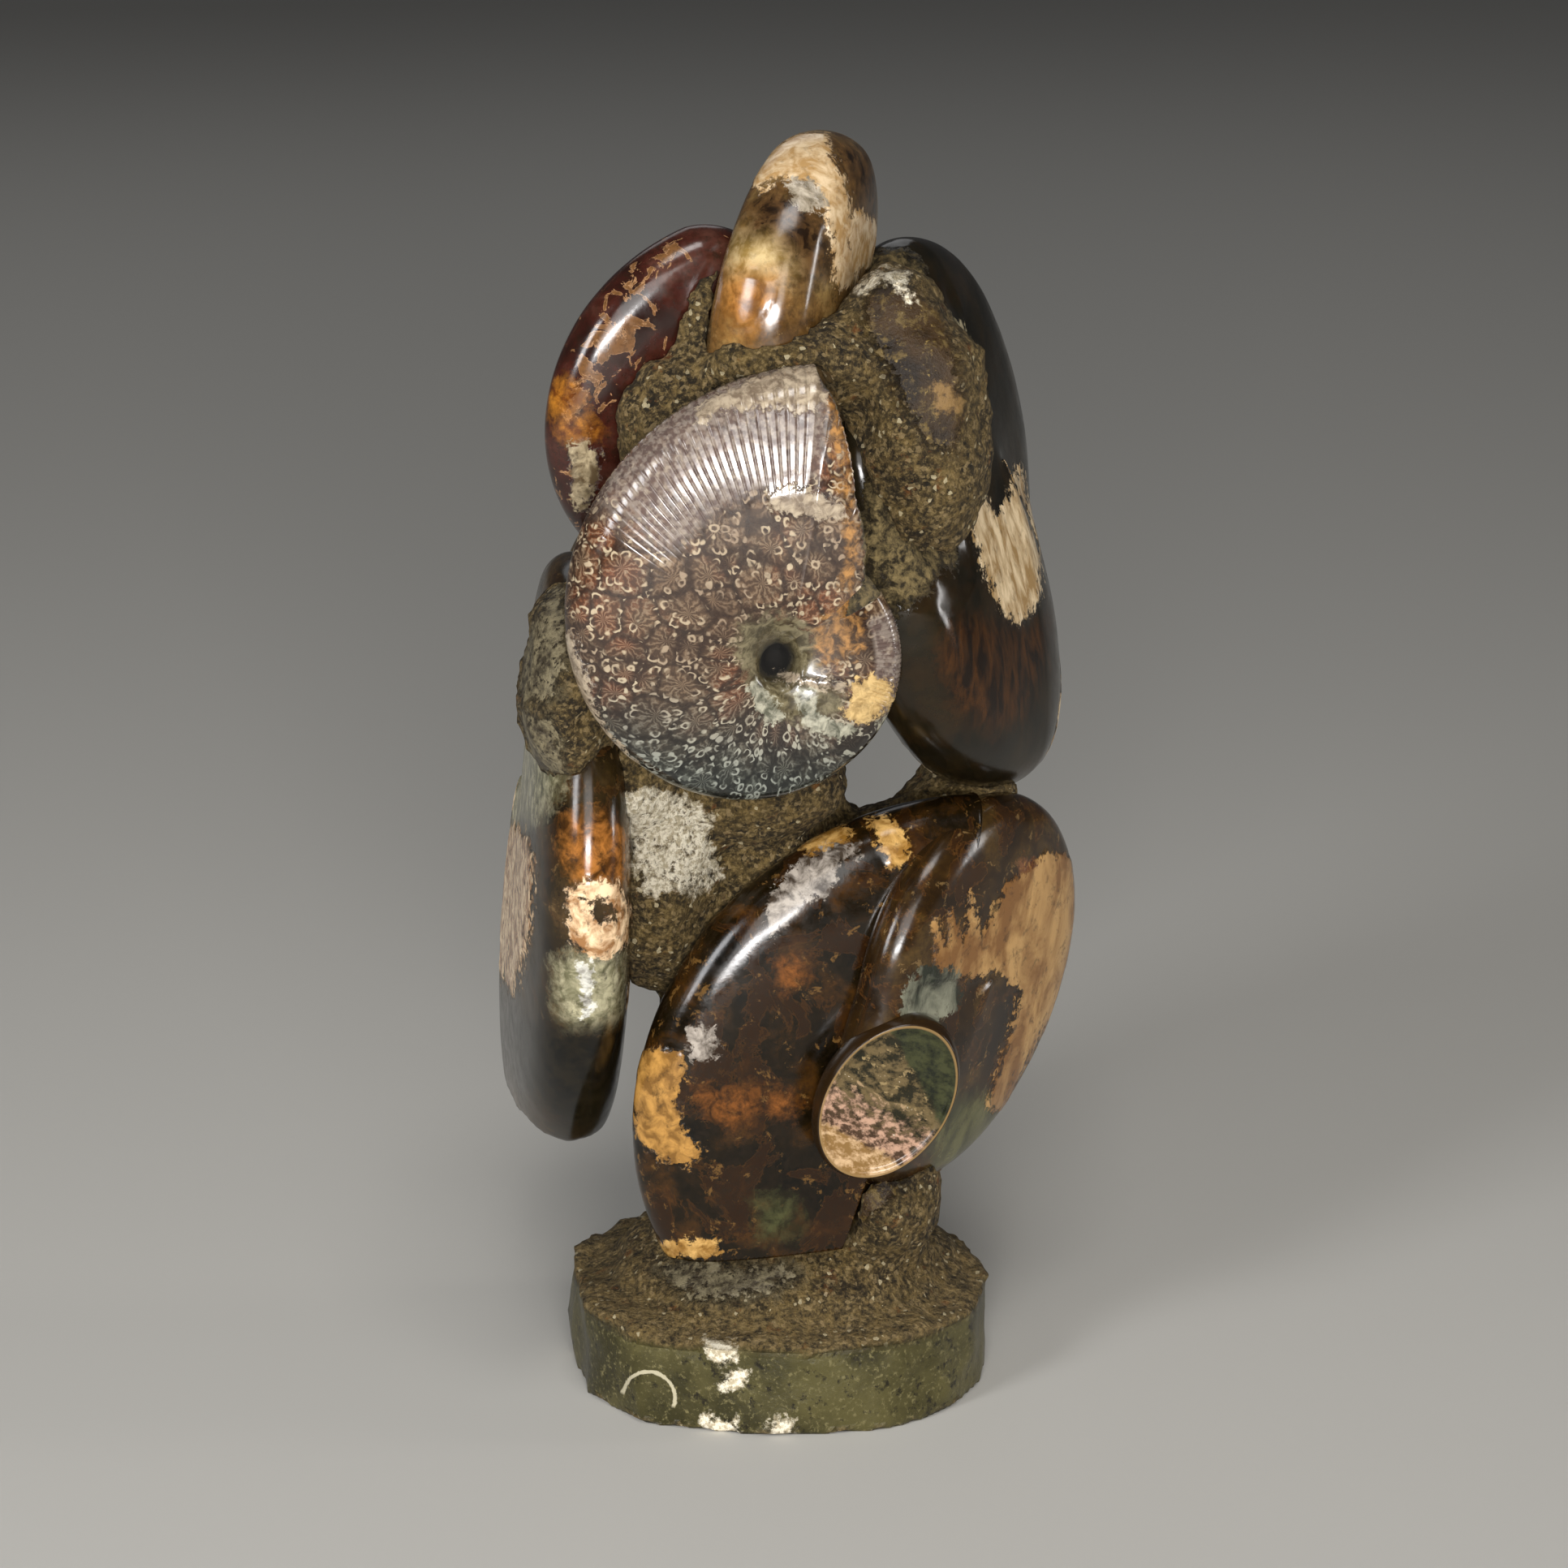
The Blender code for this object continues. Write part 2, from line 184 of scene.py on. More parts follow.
# Each shell: centre in mm, yaw and tilt of its flank in degrees, aperture angle, aperture radius, growth
# in one turn, half thickness as a share, sense of growth, meridians, rings on the front and on the back
SHELLS = {
    "ammonite_front": ((-0.8, -29.0, 150.0), 9, 0, 83, 49.5, 3.0, 0.225, -1, 1560, 46, 14),
    "ammonite_top": ((3.8, 8.0, 204.5), 74, 8, 235, 38.0, 2.0, 0.34, 1, 320, 62, 62),
    "ammonite_upper_left": ((-11.5, 0.0, 179.0), 24, 5, 100, 40.0, 2.5, 0.22, -1, 360, 52, 52),
    "ammonite_right": ((29.5, 22.0, 168.5), 72, -13, 262, 60.0, 2.0, 0.25, 1, 380, 74, 74),
    "ammonite_left": ((-40.8, 20.0, 110.0), -83, -2.5, 272, 74.0, 3.0, 0.18, -1, 400, 66, 66),
    "ammonite_lower_front": ((24.0, -8.0, 50.0), 18, 0, 80, 65.0, 2.0, 0.175, -1, 500, 84, 30),
    "ammonite_lower_right": ((31.5, -2.0, 80.0), 56, 8, 240, 43.0, 1.6, 0.23, -1, 420, 76, 40),
    "ammonite_back": ((-8.0, 34.0, 128.0), 184, 0, 60, 42.0, 3.0, 0.22, 1, 420, 62, 26),
}
BROKEN_ENDS = {"ammonite_left": -60.0, "ammonite_top": -23.0}

# Planes where a shell was cut off: a point in the plane of its coil, and the direction that the cut faces
CUT_PLANES = {"ammonite_lower_front": (((-10.3, 0.0), (1.0, -0.34)), ((0.0, -18.5), (0.0, -1.0)))}

# Front shell, in mm: place, radius and depth of the hole near the centre of the coil, the wide dip round
# it, and the ribs of its outer layer
HOLE_PLACE = (-0.7, -3.3)
HOLE_RADIUS = 3.0
HOLE_DEPTH = 7.0
DIP_RADIUS = 8.0
DIP_DEPTH = 1.6
RIBS_PER_TURN = 156
RIB_DEPTH = 0.17

# Right shell: depth in mm of the scar where its skin is lost
SCAR_DEPTH = 2.6


def turned(points, yaw, tilt):
    """Points turned by the tilt about X and then by the yaw about Z."""
    a, b = math.radians(yaw), math.radians(tilt)
    lean = np.array(((1, 0, 0), (0, math.cos(b), -math.sin(b)), (0, math.sin(b), math.cos(b))))
    spin = np.array(((math.cos(a), -math.sin(a), 0), (math.sin(a), math.cos(a), 0), (0, 0, 1)))
    return points @ (spin @ lean).T


def shell_profiles(name, size, growth, bulge, turns, steps):
    """Distance from the coil centre and height of the flank, for every turn angle and every step from the
    centre to the venter.

    The radius falls by the growth factor in one turn back from the aperture. A ground shell steps down to
    its older whorl over a long angle; the front one keeps its last whorl as far as the broken edge."""
    places = np.linspace(0.0, 1.0, len(PROFILE_REACH))
    reach = smooth_curve(steps, places, PROFILE_REACH, level_end=True)[None, :]
    turn = turns[:, None]
    if name not in OPEN_SHELLS:
        rise = smooth_curve(steps, places, FILLED_RISE, level_start=True)[None, :]
        left = math.tau - GROUND_STEP
        full = size * growth ** (-np.minimum(turn, left) / math.tau)
        full = full + (size - full) * step_up(turn, left, math.tau)
        middle = size * growth ** -0.5
        return reach * full, rise * bulge * (middle + (full - middle) * np.sqrt(reach))
    rise = smooth_curve(steps, places, PROFILE_RISE, level_start=True)[None, :]
    full = size * growth ** (-turn / math.tau)
    away = reach * full
    height = rise * bulge * full
    if name == "ammonite_front":
        ahead = np.degrees(math.tau - turn)
        edge = np.interp(ahead, BREAK_AHEAD, BREAK_REACH)
        chips = np.stack([ahead / 4.0, ahead * 0, ahead * 0], axis=-1)
        lip = size * edge * (1.0 + 0.035 * rough(chips, 1.0, 3, 3) * step_up(ahead, 1.0, 6.0))
        lip_height = smooth_curve(lip / size, PROFILE_REACH, PROFILE_RISE) * bulge * size
        wall = reach * size > lip
        drop = (1.0 - reach) / np.maximum(1.0 - lip / size, 1e-3)
        broken = (turn > math.pi) & (lip > full)
        away = np.where(broken, np.where(wall, lip, reach * size), away)
        height = np.where(broken, np.where(wall, lip_height * drop, rise * bulge * size), height)
    return away, height


def grid_normals(points, cyclic):
    """Unit normals of a grid of points, square to its two directions."""
    if cyclic:
        along = np.roll(points, -1, axis=0) - np.roll(points, 1, axis=0)
    else:
        along = np.gradient(points, axis=0)
    across = np.gradient(points, axis=1)
    normal = np.cross(along, across)
    length = np.linalg.norm(normal, axis=-1, keepdims=True)
    normal = normal / np.maximum(length, 1e-12)
    middle = points.mean(axis=(0, 1))
    if np.sum(normal * (points - middle)) < 0:
        normal = -normal
    return normal


def shell_surface(name):
    """The surface of one shell as a grid: meridians round the coil, rings from the centre of the front
    flank over the venter to the centre of the back flank.

    Gives the places in mm, the unit normals, the turn angle and the share of the radius of each point,
    flank places (the distance walked from the centre of the flank, laid out round it), and the angle in
    the plane of the coil in degrees."""
    centre, yaw, tilt, aperture, size, growth, bulge, sense, meridians, front, back = SHELLS[name]
    if name in OPEN_SHELLS:
        turns = np.linspace(0.0, math.tau - APERTURE_STEP, meridians)
        if name == "ammonite_front":
            shares = np.interp(np.linspace(0, 1, meridians), MERIDIAN_PLACES, MERIDIAN_TURNS)
            turns = (math.tau - APERTURE_STEP) * shares
    else:
        turns = math.tau * np.arange(meridians) / meridians
    front_steps = np.linspace(0.012, 1.0, front)
    back_steps = np.linspace(1.0, 0.012, back)[1:]
    steps = np.concatenate((front_steps, back_steps))
    side = np.concatenate((np.full(front, -1.0), np.full(back - 1, 1.0)))
    away, height = shell_profiles(name, size, growth, bulge, turns, steps)
    angle = (math.radians(aperture) - sense * turns)[:, None]
    if name == "ammonite_front":
        from_hole = np.hypot(away * np.cos(angle) - HOLE_PLACE[0], away * np.sin(angle) - HOLE_PLACE[1])
        height = height - HOLE_DEPTH * np.exp(-(from_hole / HOLE_RADIUS) ** 4) * (side < 0)
        height = height - DIP_DEPTH * np.exp(-(from_hole / DIP_RADIUS) ** 2) * (side < 0)
    local = np.stack((away * np.cos(angle), side * height, away * np.sin(angle)), axis=-1)
    if name in BROKEN_ENDS:
        end = BROKEN_ENDS[name] + 1.2 * rough(local * (1, 1, 0), 8.0, 5) + 0.8 * rough(local, 2.5, 6, 2)
        local[..., 2] = np.maximum(local[..., 2], end)
    for point, out in CUT_PLANES.get(name, ()):
        out = np.array((out[0], 0.0, out[1])) / math.hypot(*out)
        beyond = (local - np.array((point[0], 0.0, point[1]))) @ out
        local = local - np.maximum(beyond, 0.0)[..., None] * out
    walked = np.hypot(np.diff(away, axis=1), np.diff(height * side, axis=1))
    path = np.concatenate((np.zeros((len(turns), 1)), np.cumsum(walked, axis=1)), axis=1)
    path = np.minimum(path, path[:, -1:] - path)
    flank = np.stack((path * np.cos(angle), side * 40.0 + 0 * path, path * np.sin(angle)), axis=-1)
    places = turned(local, yaw, tilt) + np.array(centre)
    normals = grid_normals(places, name not in OPEN_SHELLS)
    reach = away / (size * growth ** (-turns / math.tau))[:, None]
    angles = np.degrees(angle) + 0 * away
    return places, normals, np.broadcast_to(turns[:, None], away.shape), reach, flank, angles


def grid_faces(rows, columns, first_pole, last_pole):
    """Quads of a grid closed round its rows, and fans of triangles to a pole at each end of its columns."""
    index = np.arange(rows * columns).reshape(rows, columns)
    ahead = np.roll(index, -1, axis=0)
    quads = np.stack((index[:, :-1], index[:, 1:], ahead[:, 1:], ahead[:, :-1]), axis=-1).reshape(-1, 4)
    start = np.stack((np.full(rows, first_pole), index[:, 0], ahead[:, 0]), axis=-1)
    end = np.stack((np.full(rows, last_pole), ahead[:, -1], index[:, -1]), axis=-1)
    return quads, np.concatenate((start, end))


def add_mesh(name, points, quads, triangles, material, fields):
    """A smooth piece from arrays of places in mm, faces, and named values on its points."""
    mesh = bpy.data.meshes.new(name)
    mesh.vertices.add(len(points))
    mesh.vertices.foreach_set("co", (points * MM).astype(np.float32).ravel())
    corners = np.concatenate((quads.ravel(), triangles.ravel())).astype(np.int32)
    mesh.loops.add(len(corners))
    mesh.loops.foreach_set("vertex_index", corners)
    starts = np.concatenate((np.arange(len(quads)) * 4, 4 * len(quads) + np.arange(len(triangles)) * 3))
    mesh.polygons.add(len(starts))
    mesh.polygons.foreach_set("loop_start", starts.astype(np.int32))
    mesh.update(calc_edges=True)
    for key, values in fields.items():
        if values.ndim == 2:
            mesh.attributes.new(key, "FLOAT_VECTOR", "POINT").data.foreach_set(
                "vector", values.astype(np.float32).ravel())
        else:
            mesh.attributes.new(key, "FLOAT", "POINT").data.foreach_set("value", values.astype(np.float32))
    mesh.shade_smooth()
    mesh.materials.append(material)
    item = bpy.data.objects.new(name, mesh)
    COLLECTION.objects.link(item)
    return item


def facing_camera(points, normals):
    """How squarely each point faces the camera's place, from -1 to 1."""
    view = CAMERA_PLACE - points
    return np.sum(view * normals, axis=-1) / np.linalg.norm(view, axis=-1)


# Colour layers of the shells; the pale one is a painted highlight on some shells, and the dark one is the
# painted shade of the front shell's hole
LAYERS = ("teal", "amber", "ochre", "dark", "cream", "pale")


def layer_fields(points, normals, outlines, seed, elsewhere):
    """Signed distance in mm from the edge of each colour layer's patches, above zero inside them.

    On the side that the picture shows, patches follow outlines given as picture places. On the far side
    they follow soft lumps, so that every shell is finished all round. Lobes make the seam between the two
    an uneven one."""
    spots = in_picture(points)
    facing = facing_camera(points, normals)
    wobble = 0.55 * rough(points, 3.2, seed, 2)
    lobes = np.clip(rough(points, 9.0, seed + 5, 3) + 0.25, 0.0, 1.0)
    facing = facing + 0.3 * lobes * step_up(-facing, -0.2, 0.0)
    fields = {}
    for number, layer in enumerate(LAYERS):
        seen = np.full(len(points), -PATCH_LIMIT)
        for outline in outlines.get(layer, ()):
            seen = np.maximum(seen, inside_depth(spots, outline))
        seen = np.where(seen > 0.1 - PATCH_LIMIT, seen + wobble, seen)
        seen = seen - TURNED_AWAY * np.maximum(0.0, 0.12 - facing)
        size, level = elsewhere.get(layer, (14.0, 9.0))
        free = 9.0 * (rough(points, size, seed + 20 + number, 2) - level)
        free = free - TURNED_AWAY * np.maximum(0.0, facing - 0.02)
        fields[layer] = np.clip(np.maximum(seen, free), -PATCH_LIMIT, PATCH_LIMIT)
    return fields


# Patches that the picture shows on each shell, as outlines in the picture's pixels; a few are painted
# highlights and one is painted shade, as marked
PATCHES = {
    "ammonite_front": {
        "cream": (
            ((985, 450), (1006, 448), (1022, 478), (1014, 502), (985, 507), (940, 500), (888, 508),
             (866, 522), (850, 514), (874, 492), (922, 468)),
            ((694, 780), (708, 786), (720, 830), (738, 880), (760, 915), (792, 950), (772, 962),
             (740, 930), (714, 890), (698, 840)),
            ((944, 608), (966, 601), (1000, 604), (1036, 618), (1046, 636), (1012, 640), (976, 632),
             (950, 624)),
            ((958, 826), (980, 830), (1030, 838), (1046, 846), (1036, 852), (1000, 846), (968, 842)),
        ),
        "ochre": (
            ((1042, 840), (1074, 832), (1100, 838), (1102, 860), (1082, 884), (1052, 892), (1038, 874),
             (1052, 858)),
        ),
        "pale": (
            ((922, 848), (934, 838), (952, 862), (968, 882), (950, 892), (930, 876)),
            ((982, 846), (1000, 850), (1010, 880), (1040, 890), (1060, 900), (1030, 912), (1000, 900),
             (986, 880)),
            ((1082, 890), (1108, 878), (1116, 890), (1100, 908), (1084, 908)),
        ),
        "teal": (
            ((905, 800), (915, 770), (950, 755), (985, 765), (1010, 790), (1004, 830), (1040, 850),
             (1042, 880), (1000, 895), (950, 880), (925, 850)),
        ),
        # The hole near the centre of the coil, painted near black as the shade in its recess
        "dark": (
            ((957, 788), (972, 794), (977, 808), (972, 822), (957, 828), (942, 822), (937, 808),
             (942, 794)),
        ),
        "amber": (
            ((1002, 452), (1016, 460), (1040, 520), (1046, 600), (1056, 660), (1050, 740), (1064, 790),
             (1040, 822), (1004, 806), (1014, 764), (1040, 740), (1044, 660), (1036, 600), (1026, 520)),
        ),
    },
    "ammonite_top": {
        "cream": (
            ((926, 222), (946, 182), (985, 162), (1018, 164), (1024, 190), (1040, 225), (1048, 262),
             (1044, 300), (1060, 320), (1050, 356), (1026, 352), (1024, 300), (1018, 262), (1000, 226),
             (958, 218), (934, 236)),
            ((1040, 270), (1060, 262), (1084, 276), (1090, 300), (1070, 330), (1044, 330)),
        ),
        "amber": (
            ((896, 290), (930, 278), (962, 286), (980, 320), (962, 345), (900, 342)),
        ),
        "ochre": (
            ((888, 342), (920, 336), (956, 342), (952, 372), (926, 404), (900, 410), (886, 380)),
        ),
        "teal": (
            ((990, 262), (1024, 256), (1026, 352), (994, 372), (968, 350), (976, 300)),
        ),
        "dark": (
            ((924, 230), (960, 222), (1000, 232), (1020, 268), (1022, 330), (996, 344), (972, 318),
             (950, 292), (914, 296)),
            ((1020, 160), (1062, 170), (1100, 222), (1096, 280), (1056, 270), (1046, 232), (1028, 200)),
        ),
        "pale": (
            ((972, 226), (1000, 224), (1018, 244), (1010, 262), (986, 258), (976, 244)),
        ),
    },
    "ammonite_upper_left": {
        "cream": (
            ((700, 545), (722, 540), (738, 560), (730, 600), (716, 630), (702, 610), (704, 575)),
        ),
        "amber": (
            ((670, 480), (700, 470), (715, 492), (700, 512), (674, 506)),
            ((690, 520), (722, 512), (738, 532), (712, 548), (690, 540)),
        ),
        "teal": (
            ((716, 452), (736, 404), (764, 366), (800, 326), (832, 300), (826, 330), (800, 372),
             (778, 412), (756, 450), (730, 486), (708, 500)),
        ),
    },
    "ammonite_right": {
        "cream": (
            ((1190, 622), (1212, 616), (1226, 632), (1240, 616), (1256, 572), (1268, 620), (1282, 680),
             (1280, 742), (1256, 768), (1234, 754), (1220, 722), (1205, 684), (1196, 650)),
        ),
        "amber": (
            ((1180, 756), (1262, 776), (1296, 760), (1290, 820), (1262, 880), (1226, 906), (1176, 870),
             (1156, 800)),
        ),
        # Pale shell edges along the top of the broken region, with a painted highlight along them
        "pale": (
            ((1056, 356), (1084, 340), (1116, 344), (1160, 372), (1190, 410), (1180, 420), (1140, 388),
             (1100, 362)),
        ),
    },
    "ammonite_left": {
        "cream": (
            ((604, 1022), (640, 1016), (656, 1050), (658, 1100), (650, 1160), (632, 1224), (616, 1200),
             (604, 1120)),
            ((702, 1096), (730, 1082), (760, 1090), (780, 1120), (776, 1160), (744, 1184), (716, 1172),
             (700, 1140), (702, 1097), (728, 1110), (726, 1130), (742, 1142), (758, 1130), (752, 1108),
             (728, 1108)),
        ),
        "teal": (
            ((600, 940), (640, 880), (690, 860), (712, 900), (692, 965), (662, 1010), (600, 1024)),
            ((686, 1186), (720, 1176), (768, 1180), (772, 1240), (742, 1270), (700, 1266), (684, 1230)),
        ),
        "ochre": (
            ((612, 860), (650, 780), (690, 730), (720, 780), (716, 900), (640, 884), (606, 940)),
        ),
        "amber": (
            ((700, 1010), (740, 1000), (776, 1030), (780, 1084), (748, 1092), (712, 1084), (694, 1050)),
        ),
        # Painted highlight: a narrow white upright streak on the front rim
        "pale": (
            ((712, 1186), (728, 1184), (732, 1246), (718, 1254)),
        ),
        "dark": (
            ((598, 1150), (630, 1236), (690, 1266), (784, 1262), (790, 1400), (700, 1400), (630, 1330)),
        ),
    },
    "ammonite_lower_front": {
        "cream": (
            ((782, 1300), (806, 1290), (840, 1300), (846, 1322), (832, 1352), (842, 1392), (868, 1420),
             (850, 1434), (812, 1430), (786, 1404), (778, 1350)),
        ),
        "ochre": (
            ((984, 1040), (1006, 1020), (1038, 1016), (1052, 1034), (1030, 1052), (1000, 1062)),
            ((1072, 1012), (1088, 1004), (1116, 1024), (1118, 1060), (1100, 1072), (1082, 1044)),
            ((812, 1534), (840, 1526), (884, 1528), (884, 1548), (822, 1548)),
        ),
        "amber": (
            ((958, 1186), (990, 1182), (992, 1204), (968, 1216)),
            ((948, 1350), (976, 1350), (974, 1372), (950, 1372)),
            ((862, 1344), (900, 1350), (932, 1340), (934, 1366), (906, 1386), (872, 1370)),
        ),
        # Painted highlights: the pale lilac band along the upper-left venter, across its ribs, and a spot
        # at its lower end
        "pale": (
            ((1060, 1036), (1058, 1054), (1026, 1068), (1032, 1086), (1018, 1104), (994, 1108),
             (972, 1136), (952, 1154), (944, 1130), (960, 1088), (990, 1058), (1030, 1040)),
            ((846, 1268), (880, 1266), (884, 1300), (852, 1308)),
        ),
        "teal": (
            ((930, 1480), (976, 1478), (984, 1516), (940, 1526)),
        ),
    },
    "ammonite_lower_right": {
        "cream": (
            ((1150, 1210), (1152, 1130), (1166, 1170), (1172, 1120), (1186, 1160), (1196, 1100),
             (1210, 1150), (1240, 1090), (1290, 1050), (1326, 1060), (1334, 1140), (1310, 1230),
             (1270, 1300), (1236, 1370), (1214, 1366), (1240, 1290), (1256, 1220), (1230, 1196),
             (1196, 1204)),
        ),
        "teal": (
            ((1150, 1350), (1216, 1350), (1240, 1376), (1190, 1440), (1150, 1440)),
        ),
        "amber": (
            ((1262, 1070), (1300, 1064), (1312, 1100), (1290, 1140), (1262, 1120)),
        ),
        "pale": (
            ((1112, 1220), (1140, 1188), (1180, 1194), (1184, 1236), (1150, 1262), (1116, 1258)),
        ),
    },
    "ammonite_back": {},
}

# Lumps that set where the far side's patches lie: their size in mm and the level they start at
FAR_SIDE = {
    "ammonite_front": {"cream": (18.0, 0.55)},
    "ammonite_top": {"cream": (20.0, 0.10), "amber": (14.0, 0.45), "dark": (16.0, 0.35)},
    "ammonite_upper_left": {"teal": (16.0, 0.1), "cream": (16.0, 0.55)},
    "ammonite_right": {"cream": (20.0, 0.42), "amber": (22.0, 0.30), "ochre": (12.0, 0.62)},
    "ammonite_left": {
        "teal": (22.0, 0.10), "cream": (20.0, 0.32), "amber": (14.0, 0.48), "pale": (9.0, 0.6)},
    "ammonite_lower_front": {"cream": (16.0, 0.45), "amber": (12.0, 0.45), "ochre": (11.0, 0.55)},
    "ammonite_lower_right": {"cream": (17.0, 0.25), "amber": (14.0, 0.45), "teal": (18.0, 0.40)},
    "ammonite_back": {"cream": (18.0, 0.40), "amber": (12.0, 0.52), "ochre": (12.0, 0.50)},
}


# Materials

def set_up(tree, item, settings=None, links=None):
    """Settings are a node's own options or, by name or number, its sockets; links feed sockets from other
    nodes or with an sRGB hex colour."""
    for key, value in (settings or {}).items():
        if isinstance(key, str) and hasattr(item, key):
            setattr(item, key, value)
        else:
            item.inputs[key].default_value = value
    for key, source in (links or {}).items():
        if isinstance(source, str):
            item.inputs[key].default_value = linear(source)
        else:
            tree.links.new(source, item.inputs[key])


def add(tree, kind, settings=None, links=None, out=0):
    """Adds a shader node with its settings and links, and gives its first output, another one by name or
    number, or the node itself for None."""
    item = tree.nodes.new("ShaderNode" + kind)
    set_up(tree, item, settings, links)
    return item if out is None else item.outputs[out]


def paint(tree, colour, *coats):
    """Colours laid over one another. Each coat has a value, where it starts to show, where it is full, its
    colour, and how much it hides at most."""
    for value, start, full, over, *most in coats:
        share = add(tree, "MapRange", {1: start, 2: full, 4: most[0] if most else 1.0}, {0: value})
        colour = add(tree, "Mix", {"data_type": "RGBA"}, {0: share, 6: colour, 7: over}, out=2)
    return colour


def new_material(name):
    """A material with only its shader and its output, and the place on the piece in mm."""
    material = bpy.data.materials.new(name)
    material.use_nodes = True
    tree = material.node_tree
    tree.nodes.clear()
    shader = add(tree, "BsdfPrincipled", out=None)
    add(tree, "OutputMaterial", links={"Surface": shader.outputs[0]}, out=None)
    spot = add(tree, "TexCoord", out="Object")
    spot = add(tree, "VectorMath", {"operation": "SCALE", "Scale": 1000.0}, {0: spot})
    return material, tree, shader, spot


def fossil_shell(name, look):
    """Fossil shell replaced by calcite and polished on a wheel.

    To the eye: a glassy surface over brown and grey calcite, leafy suture edges where the chamber walls met
    the shell, and cream to ochre islands where the outer layer is left, a little proud of the rest."""
    material, tree, shader, spot = new_material(name)
    field = {}
    for key in LAYERS + ("worn", "flank"):
        field[key] = add(tree, "Attribute", {"attribute_name": key}, out=1 if key == "flank" else 2)

    # Noises by their size in mm: clouds of colour in the calcite, its mottle, grime, flecks, ragged edges
    noises = {}
    for key, size, detail, harsh, curl in (
            ("clouds", look["cloud_mm"], 5.0, 0.6, 0.3),
            ("mottle", 1.0, 4.0, 0.65, 0.0),
            ("grime", 2.6, 6.0, 0.72, 0.3),
            ("flecks", 3.6, 7.0, 0.74, 0.4),
            ("ragged", 1.7, 6.0, 0.72, 0.3)):
        noises[key] = add(tree, "TexNoise", {
            "Scale": 1 / size, "Detail": detail, "Roughness": harsh, "Distortion": curl}, {"Vector": spot})
    clouds = noises["clouds"]
    colour = paint(tree, look["deep"], (clouds, 0.38, 0.52, look["body"]),
                   (clouds, 0.52, 0.66, look["light"]))

    # Leafy sutures: the edge of a fractal noise at one level is a frilled line; one side of it is the
    # filled chamber, and the line itself is the wall
    leaf = add(tree, "TexNoise", {
        "Scale": 1 / look["leaf_mm"], "Detail": 7.0, "Roughness": 0.62, "Distortion": look["leaf_curl"]},
        {"Vector": field["flank"]})
    level = look["leaf_level"]
    if look["leaf_zone"]:
        zone = add(tree, "MapRange", {1: -3.0, 2: 1.0, 3: -0.13, 4: 0.0}, {0: field["teal"]})
        leaf = add(tree, "Math", {"operation": "ADD"}, {0: leaf, 1: zone})
    off = add(tree, "Math", {"operation": "SUBTRACT", 1: level}, {0: leaf})
    off = add(tree, "Math", {"operation": "ABSOLUTE"}, {0: off})
    colour = paint(tree, colour, (leaf, level, level + 0.02, look["leaf_colour"], look["leaf"]),
                   (off, 0.016, 0.003, look["line_colour"], look["line"]),
                   (noises["mottle"], 0.46, 0.62, look["mottled"], look["mottle"]))
    if look["rosettes"]:
        colour = rosettes(tree, field["flank"], colour)
    colour = paint(tree, colour, (noises["flecks"], 0.60, 0.635, look["fleck"], look["flecks"]))

    # Layers: signed distances in mm on the points, roughened by noise, give ragged edges. On some shells
    # the pale layer is a painted highlight, and on the front shell the dark layer is the painted shade of
    # its hole.
    ragged = add(tree, "Math", {"operation": "MULTIPLY_ADD", 1: 8.0, 2: -4.0}, {0: noises["ragged"]})
    grained = add(tree, "VectorMath", {"operation": "MULTIPLY", 1: look["grain"]}, {0: spot})
    streaks = add(tree, "TexNoise", {
        "Scale": 1 / look["streak_mm"], "Detail": 5.0, "Roughness": 0.6, "Distortion": 0.5},
        {"Vector": grained})
    proud = None
    for layer in LAYERS:
        if layer == "teal" and look["leaf_zone"]:
            continue
        deep, light = look[layer]
        edge = add(tree, "Math", {"operation": "ADD"}, {0: field[layer], 1: ragged})
        width = look["soft"] if layer in look["soft_layers"] else 0.3
        coat = paint(tree, deep, (streaks, 0.40, 0.62, light))
        colour = paint(tree, colour, (edge, -width, width, coat))
        if layer == "cream":
            proud = add(tree, "MapRange", {1: -0.5, 2: 0.2}, {0: edge})
    colour = paint(tree, colour, (noises["grime"], 0.54, 0.66, look["grime_colour"], look["grime"]))

    # Grit where the skin is lost
    worn = add(tree, "Math", {"operation": "MULTIPLY_ADD", 1: 0.12}, {0: ragged, 2: field["worn"]})
    worn = add(tree, "MapRange", {1: 0.35, 2: 0.65}, {0: worn})
    grit = paint(tree, look["grit"][0], (noises["ragged"], 0.42, 0.62, look["grit"][1]))
    colour = paint(tree, colour, (worn, 0.0, 1.0, grit))
    shine = add(tree, "MapRange", {1: 0.3, 2: 0.7, 3: look["rough"], 4: look["rough"] + 0.16},
                {0: noises["grime"]})
    shine = add(tree, "Mix", {"data_type": "FLOAT", 3: 0.75}, {0: worn, 2: shine})
    if look["rosettes"]:
        hole = add(tree, "MapRange", {1: -0.5, 2: 0.5}, {0: field["dark"]})
        shine = add(tree, "Mix", {"data_type": "FLOAT", 3: 0.9}, {0: hole, 2: shine})

    bumps = add(tree, "Bump", {"Strength": 0.2, "Distance": 0.0004}, {"Height": clouds})
    bumps = add(tree, "Bump", {"Strength": 0.5, "Distance": 0.0003}, {"Height": proud, "Normal": bumps})
    crumb = add(tree, "Math", {"operation": "MULTIPLY"}, {0: noises["ragged"], 1: worn})
    bumps = add(tree, "Bump", {"Strength": 0.9, "Distance": 0.0012}, {"Height": crumb, "Normal": bumps})
    set_up(tree, shader, {"IOR": 1.54, "Specular IOR Level": look["gloss"]},
           {"Base Color": colour, "Roughness": shine, "Normal": bumps})
    return material


